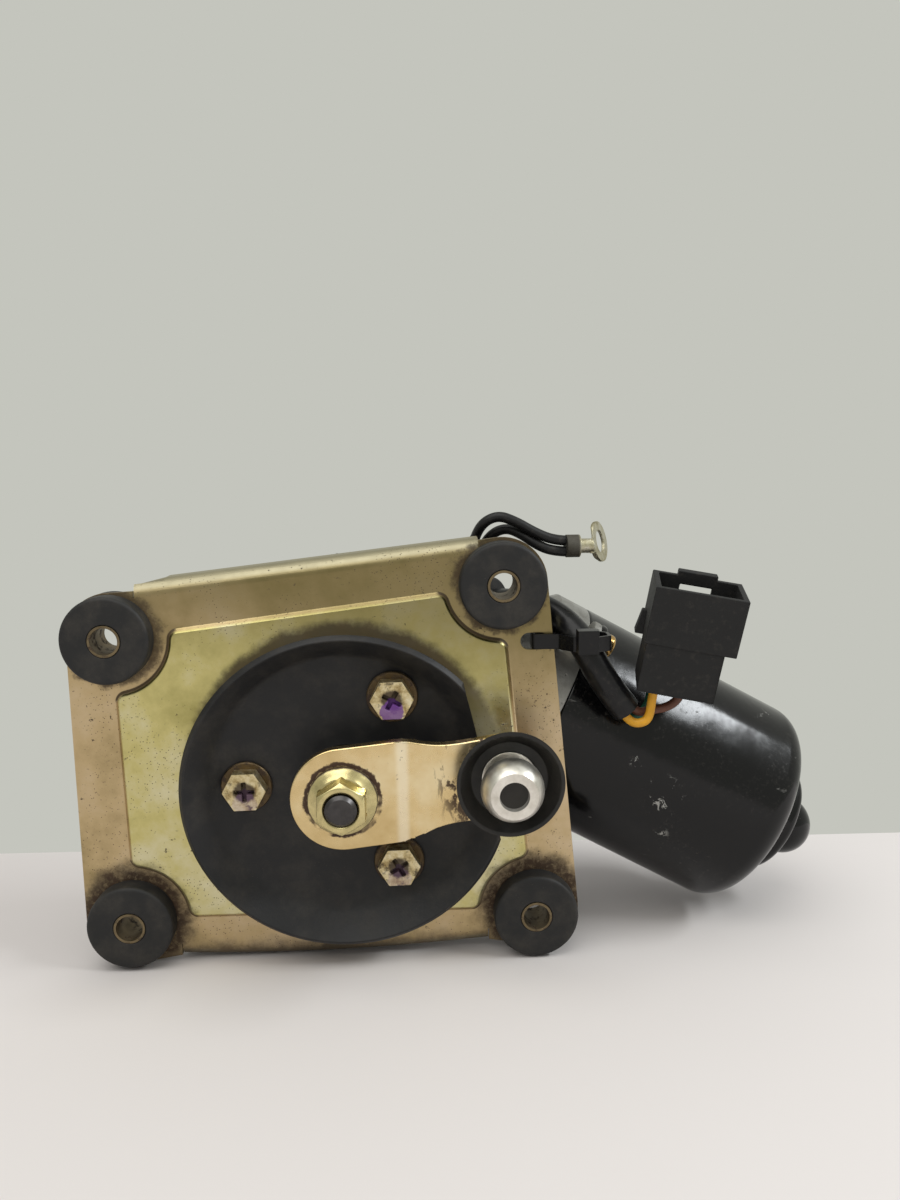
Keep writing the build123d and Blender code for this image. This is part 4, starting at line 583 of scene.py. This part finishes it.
# The finish of each slot of the record.
MAKERS = {
    "zinc_plate": plate_zinc,
    "grommet_rubber": lambda: rubber("grommet_rubber_black", dust=0.22, gloss=0.46),
    "seal_rubber": lambda: rubber("seal_rubber_black", (0.0105, 0.0105, 0.0112), 0.16, 0.36),
    "boot_rubber": lambda: rubber("boot_rubber_black", (0.012, 0.0115, 0.0105), 0.12, 0.3),
    # Painted shade: the sleeves get a dark brown tone and heavy grime, standing for the shade
    # inside the grommets' bores.
    "sleeve_steel": lambda: worn_steel("sleeve_zinc", srgb(122, 108, 84), 0.5, 1.0),
    "screw_steel": marked_screws,
    "arm_steel": arm_zinc,
    "nut_steel": lambda: worn_steel("nut_gold_zinc", srgb(206, 192, 140), 0.26, 0.3,
                                    ((*NUT_CENTRE, 9.0 * MM, 0.5 * MM),)),
    "ball_steel": ball_steel,
    "shaft_steel": lambda: worn_steel("shaft_dark_steel", srgb(78, 76, 76), 0.34, 0.4),
    "black_paint": can_paint,
    "gold_screw": lambda: worn_steel("can_screw_gold_zinc", srgb(206, 168, 104), 0.26, 0.3),
    "cast_alloy": cast_alloy,
    "cover_zinc": lambda: worn_steel("cover_zinc_sheet", srgb(176, 176, 170), 0.36, 0.3),
    "gasket_fibre": lambda: moulded("gasket_fibre", srgb(58, 60, 56), 0.7, 0.3, 0.00008, 900),
    "bronze": lambda: worn_steel("bush_bronze", srgb(176, 134, 84), 0.4, 0.4),
    "wheel_nylon": lambda: moulded("wheel_nylon", srgb(222, 214, 190), 0.34, 0.08),
    "copper": wound_copper,
    "insulator": lambda: moulded("insulator_brown", srgb(96, 56, 30), 0.4, 0.1),
    "ferrite": lambda: moulded("magnet_ferrite", srgb(58, 58, 62), 0.55, 0.1, 0.00005, 1400),
    "core_steel": laminated_steel,
    "carbon": lambda: moulded("brush_carbon", srgb(34, 34, 35), 0.5, 0.05),
    "spring_steel": lambda: worn_steel("spring_steel", srgb(150, 150, 150), 0.3, 0.2),
    "sheath_vinyl": lambda: moulded("sheath_vinyl_black", (0.005, 0.005, 0.0055), 0.2, 0.12,
                                    0.0003, 120),
    "tie_nylon": lambda: moulded("tie_nylon_black", (0.004, 0.004, 0.0045), 0.18, 0.04),
    "wire_yellow": lambda: moulded("wire_vinyl_yellow", srgb(214, 156, 40), 0.34, 0.3),
    "wire_green": lambda: moulded("wire_vinyl_green", srgb(18, 84, 62), 0.34, 0.1),
    "wire_brown": lambda: moulded("wire_vinyl_brown", srgb(98, 62, 48), 0.34, 0.1),
    "wire_black": lambda: moulded("wire_vinyl_black", (0.009, 0.009, 0.009), 0.34, 0.1),
    "connector_plastic": lambda: moulded("connector_plastic_black", (0.0105, 0.0105, 0.0105),
                                         0.52, 0.1, 0.00004, 1500),
    "tinned": tinned_metal,
}
FINISHES = {}


def finish(slot):
    """The material of a slot, made once."""
    if slot not in FINISHES:
        FINISHES[slot] = MAKERS[slot]()
    return FINISHES[slot]


# ---- settings -----------------------------------------------------------------
class WiperMotorSizes(bpy.types.PropertyGroup):
    """Sizes that a user may change."""

    sheath_diameter: bpy.props.FloatProperty(
        name="Sheath diameter", description="Outside of the harness sheath",
        default=0.008, min=0.004, max=0.012, unit="LENGTH")
    wire_diameter: bpy.props.FloatProperty(
        name="Wire diameter", description="Outside of each motor wire",
        default=0.0024, min=0.001, max=0.004, unit="LENGTH")
    earth_diameter: bpy.props.FloatProperty(
        name="Earth wire diameter", description="Outside of each earth wire",
        default=0.0028, min=0.001, max=0.004, unit="LENGTH")
    lens: bpy.props.FloatProperty(
        name="Lens", description="Focal length of the camera, in millimetres",
        default=28.953, min=10, max=200)


class WiperMotorStudio(bpy.types.PropertyGroup):
    """Colours and lamp levels of the studio."""

    wall: bpy.props.FloatVectorProperty(
        name="Background", description="Colour behind the part",
        default=srgb(196, 197, 189), subtype="COLOR", min=0, max=1)
    floor: bpy.props.FloatVectorProperty(
        name="Floor", description="Colour of the floor",
        default=srgb(214, 209, 205), subtype="COLOR", min=0, max=1)
    ambient: bpy.props.FloatProperty(
        name="Ambient", description="Strength of the even light from all round",
        default=0.52, min=0, max=2)
    key: bpy.props.FloatProperty(
        name="Key lamp", description="Power of the large lamp overhead",
        default=8.5, min=0, max=50, unit="POWER")
    side: bpy.props.FloatProperty(
        name="Side lamp", description="Power of the narrow lamp on the right",
        default=5.2, min=0, max=50, unit="POWER")


# ---- shared steps -------------------------------------------------------------
def put_material(piece, material):
    """Gives the whole of a piece one material."""
    if not piece.material_slots:
        piece.data.materials.append(material)
    for holder in piece.material_slots:
        holder.material = material


def dress(slot, *nodes):
    """Gives solids that stay as they are the finish of their slot."""
    for node in nodes:
        put_material(NODES[node], finish(slot))


def cord(name, route, diameter, slot):
    """A smooth round cord through the control points of its route."""
    data = bpy.data.curves.new(name, "CURVE")
    data.dimensions = "3D"
    data.bevel_depth = diameter / 2
    data.bevel_resolution = 6
    data.resolution_u = 16
    data.use_fill_caps = True
    line = data.splines.new("NURBS")
    line.points.add(len(route) - 1)
    for point, place in zip(line.points, route):
        point.co = (*(Vector(place) * MM), 1)
    line.order_u = 3
    line.use_endpoint_u = True
    piece = bpy.data.objects.new(name, data)
    bpy.context.scene.collection.objects.link(piece)
    put_material(piece, finish(slot))
    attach(piece, "frame")
    return piece


def body_of(node):
    """The moving body that a solid belongs to."""
    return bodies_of(NODES[node])[0]


def finish_mesh(piece, node, slot, smooth=32):
    """Shades a new mesh by its edges, gives it its finish and puts it in its solid's place."""
    bpy.ops.object.mode_set(mode="OBJECT")
    bpy.ops.object.shade_smooth_by_angle(angle=radians(smooth))
    weights = piece.modifiers.new("flat_faces_lead", "WEIGHTED_NORMAL")
    weights.keep_sharp = True
    bpy.ops.object.modifier_apply(modifier=weights.name)
    put_material(piece, finish(slot))
    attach(piece, body_of(node))
    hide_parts(node)
    return piece


def choose_edges(mesh, low, high, where=None):
    """Selects the edges whose faces turn by low to high degrees, where the place allows it."""
    shape = bmesh.from_edit_mesh(mesh)
    for edge in shape.edges:
        turned = degrees(edge.calc_face_angle(0)) if len(edge.link_faces) == 2 else 0
        middle = (edge.verts[0].co + edge.verts[1].co) / 2
        edge.select_set(low < turned < high and (where is None or where(middle)))
    bmesh.update_edit_mesh(mesh)


def edged(node, slot, *rounds, join=True, smooth=32, shape=None):
    """A copy of a solid with its seams closed and its edges rounded.

    Each round is (low, high, width, steps) and perhaps a test of the place: the edges that
    turn by low to high degrees get a radius of that width, in millimetres.
    """
    bpy.ops.object.select_all(action="DESELECT")
    piece = bpy.data.objects.new(node + "_finished", NODES[node].data.copy())
    bpy.context.scene.collection.objects.link(piece)
    bpy.context.view_layer.objects.active = piece
    piece.select_set(True)
    bpy.ops.mesh.customdata_custom_splitnormals_clear()
    bpy.ops.object.mode_set(mode="EDIT")
    bpy.ops.mesh.select_mode(type="EDGE")
    bpy.ops.mesh.select_all(action="SELECT")
    bpy.ops.mesh.remove_doubles(threshold=SEAM_GAP)
    if join:
        bpy.ops.mesh.dissolve_limited(angle_limit=FLAT_ANGLE)
    if shape:
        shape(piece)
    for low, high, width, steps, *where in rounds:
        choose_edges(piece.data, low, high, *where)
        bpy.ops.mesh.bevel(offset=width * MM, segments=steps, affect="EDGES",
                           clamp_overlap=False)
    return finish_mesh(piece, node, slot, smooth)


def spun(name, centre, profile, steps=96):
    """Turns a closed profile of (along, out) points, in millimetres, round a line from front
    to back through the centre."""
    axis, out = Vector((0, 1, 0)), Vector((1, 0, 0))
    bpy.ops.object.select_all(action="DESELECT")
    bpy.ops.mesh.primitive_plane_add(size=MM)
    piece = bpy.context.object
    piece.name = name
    centre = Vector(centre) * MM
    places = [centre + (axis * along + out * across) * MM for along, across in profile]
    bpy.ops.object.mode_set(mode="EDIT")
    bpy.ops.mesh.select_mode(type="VERT")
    bpy.ops.mesh.select_all(action="SELECT")
    bpy.ops.mesh.merge(type="CENTER")
    bpy.ops.transform.translate(value=places[0])
    for before, after in zip(places, (*places[1:], places[0])):
        bpy.ops.mesh.extrude_region_move(TRANSFORM_OT_translate={"value": after - before})
    bpy.ops.mesh.select_all(action="SELECT")
    bpy.ops.mesh.spin(steps=steps, angle=radians(360), center=centre, axis=axis)
    bpy.ops.mesh.select_all(action="SELECT")
    bpy.ops.mesh.remove_doubles(threshold=SAME_POINT)
    bpy.ops.mesh.normals_make_consistent(inside=False)
    return piece


def connector_axes():
    """The connector's own right, back and up."""
    turn, tip = CONNECTOR_TURN, CONNECTOR_TIP
    up = Vector((sin(turn) * cos(tip), -sin(tip), cos(turn) * cos(tip)))
    level = Vector((cos(turn), 0, -sin(turn)))
    across = level * cos(CONNECTOR_YAW) + up.cross(level) * sin(CONNECTOR_YAW)
    return across, up.cross(across), up


# ---- steps --------------------------------------------------------------------
class Step(bpy.types.Operator):
    """Runs one step; an error in it stops the script."""

    bl_options = {"REGISTER", "UNDO"}

    def execute(self, context):
        self.build(context.scene.wiper_sizes, context.scene.wiper_studio)
        return {"FINISHED"}


class WIPER_OT_camera(Step):
    """Places the camera in front of the plate"""

    bl_idname = "wiper.camera"
    bl_label = "Camera"

    def build(self, sizes, studio):
        pitch, yaw, roll = CAMERA_PITCH, CAMERA_YAW, CAMERA_ROLL
        ahead = Vector((sin(yaw) * cos(pitch), cos(yaw) * cos(pitch), -sin(pitch)))
        level = Vector((cos(yaw), -sin(yaw), 0))
        above = level.cross(ahead)
        right = level * cos(roll) - above * sin(roll)
        up = above * cos(roll) + level * sin(roll)
        data = bpy.data.cameras.new("camera")
        data.sensor_fit = "AUTO"
        data.sensor_width = 36
        data.lens = sizes.lens
        data.clip_start = 0.01
        camera = bpy.data.objects.new("camera", data)
        bpy.context.scene.collection.objects.link(camera)
        turn = Matrix((right, up, -ahead)).transposed().to_4x4()
        camera.matrix_world = Matrix.Translation(CAMERA_PLACE) @ turn
        bpy.context.scene.camera = camera


class WIPER_OT_plate(Step):
    """Rounds the pressed plate: soft creases round its panel, small radii at its cut edges"""

    bl_idname = "wiper.plate"
    bl_label = "Mounting plate"

    def build(self, sizes, studio):
        edged("mounting_plate", "zinc_plate", (24, 56, 0.3, 3, self.is_flat),
              (75, 105, 0.15, 2, self.is_flat), shape=self.soften_ends)

    def is_flat(self, place):
        """True away from the bent top and bottom edges."""
        left, height = TOP_BEND_START
        top = height + (place.x - left) * TOP_BEND_RISE
        return BOTTOM_RIM + 2.5 * MM < place.z < top - BEND_RADIUS - 1 * MM

    def soften_ends(self, piece):
        """Runs the bent edges out into the ears at their ends."""
        left, height = TOP_BEND_START
        root = height - BEND_RADIUS
        shape = bmesh.from_edit_mesh(piece.data)
        strip = [face for face in shape.faces
                 if face.calc_center_median().z > root + 0.1 * MM
                 and face.calc_center_median().y > RIM_FRONT + 0.01 * MM]
        parts = {part for face in strip for part in (face, *face.edges, *face.verts)}
        bmesh.ops.bisect_plane(shape, geom=list(parts), plane_co=(TOP_BEND_CUT, 0, 0),
                               plane_no=(1, 0, 0))
        for corner in shape.verts:
            place = corner.co
            if abs(place.x - left) < SAME_PLACE and place.z > root + SAME_PLACE:
                place.z -= 1.0 * MM * min(1, (place.z - root) / BEND_RADIUS)
                place.x += max(0, place.y - RIM_FRONT - BEND_RADIUS + 0.1 * MM) * 1.2
            from_end = min(abs(place.x - end) for end in BOTTOM_BEND_ENDS)
            in_rim = place.z < BOTTOM_RIM and place.y < RIM_REAR + 0.1 * MM
            if from_end < SAME_PLACE and in_rim:
                place.z += 1.4 * MM
        bmesh.update_edit_mesh(piece.data)


class WIPER_OT_arm(Step):
    """Rounds the crank arm, its nut and the ball stud"""

    bl_idname = "wiper.arm"
    bl_label = "Crank arm and nut"

    def build(self, sizes, studio):
        edged("crank_arm", "arm_steel", (12, 50, 1.5, 4), (60, 120, 0.5, 3))
        self.nut()
        edged("ball_stud", "ball_steel", (50, 120, 0.2, 2))
        edged("ball_boot", "boot_rubber", (50, 120, 0.3, 2))

    def nut(self):
        """A flange nut: a coned flange turned round a hexagon with its corners taken off."""
        flange = spun("crank_nut_finished", (0, 0, 0), NUT_FLANGE_PROFILE)
        bpy.ops.object.mode_set(mode="OBJECT")
        bpy.ops.object.select_all(action="DESELECT")
        bpy.ops.mesh.primitive_cylinder_add(
            vertices=6, radius=HEXAGON_RADIUS, depth=HEXAGON_HEIGHT,
            location=HEXAGON_MIDDLE, rotation=(radians(90), 0, 0))
        hexagon = bpy.context.object
        bpy.ops.object.transform_apply()
        taper = spun("nut_taper", (0, 0, 0), NUT_CORNER_PROFILE)
        bpy.ops.object.mode_set(mode="OBJECT")
        for tool, operation, shape in ((taper, "INTERSECT", hexagon),
                                       (hexagon, "UNION", flange)):
            bpy.context.view_layer.objects.active = shape
            cut = shape.modifiers.new("joined", "BOOLEAN")
            cut.object = tool
            cut.operation = operation
            cut.solver = "EXACT"
            bpy.ops.object.modifier_apply(modifier=cut.name)
        bpy.data.objects.remove(taper)
        bpy.data.objects.remove(hexagon)
        bpy.ops.object.select_all(action="DESELECT")
        bpy.context.view_layer.objects.active = flange
        flange.select_set(True)
        bpy.ops.object.mode_set(mode="EDIT")
        choose_edges(flange.data, 28, 65)
        bpy.ops.mesh.bevel(offset=0.18 * MM, segments=2, affect="EDGES",
                           clamp_overlap=False)
        finish_mesh(flange, "crank_nut", "nut_steel")


class WIPER_OT_rubbers(Step):
    """Rounds the grommets, the bulkhead seal and the harness grommet"""

    bl_idname = "wiper.rubbers"
    bl_label = "Grommets and seal"

    def build(self, sizes, studio):
        for name, (x, z) in GROMMETS.items():
            grommet = spun("grommet_%s_finished" % name, (x, 0, z), GROMMET_PROFILE)
            finish_mesh(grommet, "grommet_" + name, "grommet_rubber")
            edged("sleeve_" + name, "sleeve_steel", (50, 120, 0.15, 2))
        edged("seal_disc", "seal_rubber", (60, 120, 0.4, 3), join=False, smooth=50,
              shape=self.sag)
        edged("harness_grommet", "seal_rubber", (50, 120, 0.4, 3))

    def sag(self, piece):
        """Lets the soft rim of the seal hang a little."""
        shape = bmesh.from_edit_mesh(piece.data)
        for corner in shape.verts:
            out = Vector((corner.co.x, corner.co.z)).length
            share = min(1, max(0, (out - SEAL_LIP_START) / (7 * MM)))
            corner.co.z -= share * (1.5 + 0.9 * corner.co.z / SEAL_RIM) * MM
        bmesh.update_edit_mesh(piece.data)


class WIPER_OT_screws(Step):
    """Rounds the screws' heads and washers"""

    bl_idname = "wiper.screws"
    bl_label = "Screws and washers"

    def build(self, sizes, studio):
        edged("plate_screws", "screw_steel", (40, 120, 0.25, 2))
        washers = edged("screw_washers", "screw_steel", (50, 120, 0.2, 2))
        put_material(washers, worn_steel("washer_dark_steel", srgb(92, 78, 58), 0.4, 1.2))
        edged("can_screws", "gold_screw", (40, 120, 0.2, 2))


class WIPER_OT_motor(Step):
    """Rounds the motor can and the cast gear housing"""

    bl_idname = "wiper.motor"
    bl_label = "Can and gear housing"

    def build(self, sizes, studio):
        edged("motor_can", "black_paint", (50, 120, 0.6, 3))
        edged("gear_housing", "cast_alloy", (50, 120, 0.6, 2))


class WIPER_OT_connector(Step):
    """Rounds the connector, its tie and the ring terminal"""

    bl_idname = "wiper.connector"
    bl_label = "Connector, tie and terminal"

    def build(self, sizes, studio):
        edged("connector_housing", "connector_plastic", (50, 120, 0.25, 2),
              shape=self.step_back)
        edged("cable_tie", "tie_nylon", (50, 120, 0.2, 2))
        edged("ring_terminal", "tinned", (50, 120, 0.12, 2), shape=self.lean_ring)

    def step_back(self, piece):
        """Sets the lower half of the front wall back, which leaves the moulded step line."""
        _, back, up = connector_axes()
        line = (CONNECTOR_ORIGIN + up * CONNECTOR_STEP) * MM
        bpy.ops.mesh.select_all(action="SELECT")
        bpy.ops.mesh.bisect(plane_co=line, plane_no=up)
        shape = bmesh.from_edit_mesh(piece.data)
        for face in shape.faces:
            below = (face.calc_center_median() - line).dot(up) < 0
            at_front = (face.calc_center_median() - line).dot(back) < 0.1 * MM
            face.select_set(below and at_front and face.normal.dot(back) < -0.9)
        bmesh.update_edit_mesh(piece.data)
        bpy.ops.mesh.select_mode(type="FACE")
        bpy.ops.mesh.extrude_region_move(TRANSFORM_OT_translate={"value": back * 0.4 * MM})
        bpy.ops.mesh.select_mode(type="EDGE")

    def lean_ring(self, piece):
        """Leans the eyelet and flattens the end of its barrel into the tab."""
        foot = BARREL_END * MM
        shape = bmesh.from_edit_mesh(piece.data)
        for corner in shape.verts:
            out = corner.co.x - foot.x
            if out > -0.3 * MM:
                lean = Matrix.Rotation(EYELET_LEAN * min(1, (out + 0.3 * MM) / MM), 3, "Y")
                corner.co = foot + lean @ (corner.co - foot)
        bmesh.update_edit_mesh(piece.data)


class WIPER_OT_cords(Step):
    """Runs the harness sheath, its wires and the two earth wires"""

    bl_idname = "wiper.cords"
    bl_label = "Cords"

    def build(self, sizes, studio):
        across, back, up = connector_axes()
        end = Vector(SHEATH_ROUTE[-1])
        leave = (end - Vector(SHEATH_ROUTE[-2])).normalized()
        front = (Vector((0, -1, 0)) + leave * leave.y).normalized()
        side = leave.cross(front)
        for name, (angle, entry, *middle) in WIRES.items():
            around = front * cos(radians(angle)) + side * sin(radians(angle))
            start = end + around * WIRE_RING
            stop = CONNECTOR_ORIGIN + across * entry[0] + back * entry[1]
            route = (start, start + leave * WIRE_LEAD, *middle, stop - up * WIRE_ENTRY, stop)
            piece = cord(name + "_vinyl", route, sizes.wire_diameter, name)
            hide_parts(name)
        sheath = cord("harness_sheath_vinyl", SHEATH_ROUTE, sizes.sheath_diameter, "sheath_vinyl")
        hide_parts("harness_sheath")
        for name, route, length in EARTH_WIRES:
            piece = cord(name + "_vinyl", route, sizes.earth_diameter, "wire_black")
            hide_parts(name)


class WIPER_OT_stage(Step):
    """Lays the pale floor and sets the lamps and background"""

    bl_idname = "wiper.stage"
    bl_label = "Studio"

    def build(self, sizes, studio):
        scene = bpy.context.scene
        scene.view_settings.view_transform = "Standard"
        bpy.ops.object.select_all(action="DESELECT")
        bpy.ops.mesh.primitive_plane_add(size=1)
        floor = bpy.context.object
        floor.name = "studio_floor"
        lean = Matrix.Rotation(FLOOR_LEAN, 4, "X")
        turn = Matrix.Rotation(FLOOR_TURN, 4, "Z")
        shape = Matrix.Diagonal((*FLOOR_SIZE, 1, 1)) @ Matrix.Translation((0, -0.5, 0))
        edge = Matrix.Translation(FLOOR_FAR_EDGE)
        floor.data.transform(edge @ turn @ lean @ shape)
        floor.matrix_world = Matrix.Identity(4)
        paint = Paint("studio_floor_paint", Specular_IOR_Level=0.2, Roughness=0.6)
        soft = paint.noise(9, 3, 0.5)
        paint.set("Base Color", paint.mix(soft * 0.1, studio.floor, srgb(186, 180, 174)))
        put_material(floor, paint.material)

        world = bpy.data.worlds.new("studio_world")
        scene.world = world
        world.use_nodes = True
        tree = world.node_tree
        tree.nodes.clear()
        path = tree.nodes.new("ShaderNodeLightPath")
        seen = tree.nodes.new("ShaderNodeMath")
        seen.operation = "MAXIMUM"
        tree.links.new(path.outputs["Is Camera Ray"], seen.inputs[0])
        tree.links.new(path.outputs["Is Glossy Ray"], seen.inputs[1])
        shown = tree.nodes.new("ShaderNodeMath")
        shown.operation = "MAXIMUM"
        tree.links.new(seen.outputs[0], shown.inputs[0])
        tree.links.new(path.outputs["Is Transmission Ray"], shown.inputs[1])
        light = tree.nodes.new("ShaderNodeBackground")
        light.inputs["Color"].default_value = (1, 1, 1, 1)
        light.inputs["Strength"].default_value = studio.ambient
        behind = tree.nodes.new("ShaderNodeBackground")
        behind.inputs["Color"].default_value = (*studio.wall, 1)
        behind.inputs["Strength"].default_value = 1
        mixed = tree.nodes.new("ShaderNodeMixShader")
        tree.links.new(shown.outputs[0], mixed.inputs[0])
        tree.links.new(light.outputs[0], mixed.inputs[1])
        tree.links.new(behind.outputs[0], mixed.inputs[2])
        out = tree.nodes.new("ShaderNodeOutputWorld")
        tree.links.new(mixed.outputs[0], out.inputs["Surface"])

        lamps = (("key_lamp", (-0.25, -0.45, 1.05), (1.1, 1.1), studio.key, (1, 0.99, 0.97)),
                 ("side_lamp", (0.756, -0.163, 0.588), (0.55, 0.1), studio.side,
                  (0.93, 0.97, 1)))
        for name, place, size, power, tint in lamps:
            data = bpy.data.lights.new(name, "AREA")
            data.shape = "RECTANGLE"
            data.size, data.size_y = size
            data.energy = power
            data.color = tint
            lamp = bpy.data.objects.new(name, data)
            scene.collection.objects.link(lamp)
            lamp.location = place
            lamp.rotation_euler = (LAMP_TARGET - lamp.location).to_track_quat("-Z", "Y").to_euler()


class WIPER_OT_solids(Step):
    """Dresses the solids that stay as they are"""

    bl_idname = "wiper.solids"
    bl_label = "Solids"

    def build(self, sizes, studio):
        for row in frame["record"]["subparts"]:
            if not NODES[row["node"]].hide_render:
                dress(row["material_slot"], row["node"])


STEPS = (WIPER_OT_camera, WIPER_OT_plate, WIPER_OT_arm, WIPER_OT_rubbers, WIPER_OT_screws,
         WIPER_OT_motor, WIPER_OT_connector, WIPER_OT_cords, WIPER_OT_stage, WIPER_OT_solids)


class WIPER_PT_parts(bpy.types.Panel):
    """Lists the steps"""

    bl_idname = "WIPER_PT_parts"
    bl_label = "Wiper Motor"
    bl_space_type = "VIEW_3D"
    bl_region_type = "UI"
    bl_category = "Wiper Motor"

    def draw(self, context):
        for group in (context.scene.wiper_sizes, context.scene.wiper_studio):
            for name in group.bl_rna.properties.keys():
                if name not in ("rna_type", "name"):
                    self.layout.prop(group, name)
        for step in STEPS:
            self.layout.operator(step.bl_idname)


CLASSES = (WiperMotorSizes, WiperMotorStudio, *STEPS, WIPER_PT_parts)


def register():
    for made in CLASSES:
        bpy.utils.register_class(made)
    bpy.types.Scene.wiper_sizes = bpy.props.PointerProperty(type=WiperMotorSizes)
    bpy.types.Scene.wiper_studio = bpy.props.PointerProperty(type=WiperMotorStudio)


def unregister():
    del bpy.types.Scene.wiper_studio
    del bpy.types.Scene.wiper_sizes
    for made in reversed(CLASSES):
        bpy.utils.unregister_class(made)


def main():
    register()
    for step in STEPS:
        group, name = step.bl_idname.split(".")
        getattr(getattr(bpy.ops, group), name)()


if __name__ == "__main__":
    main()
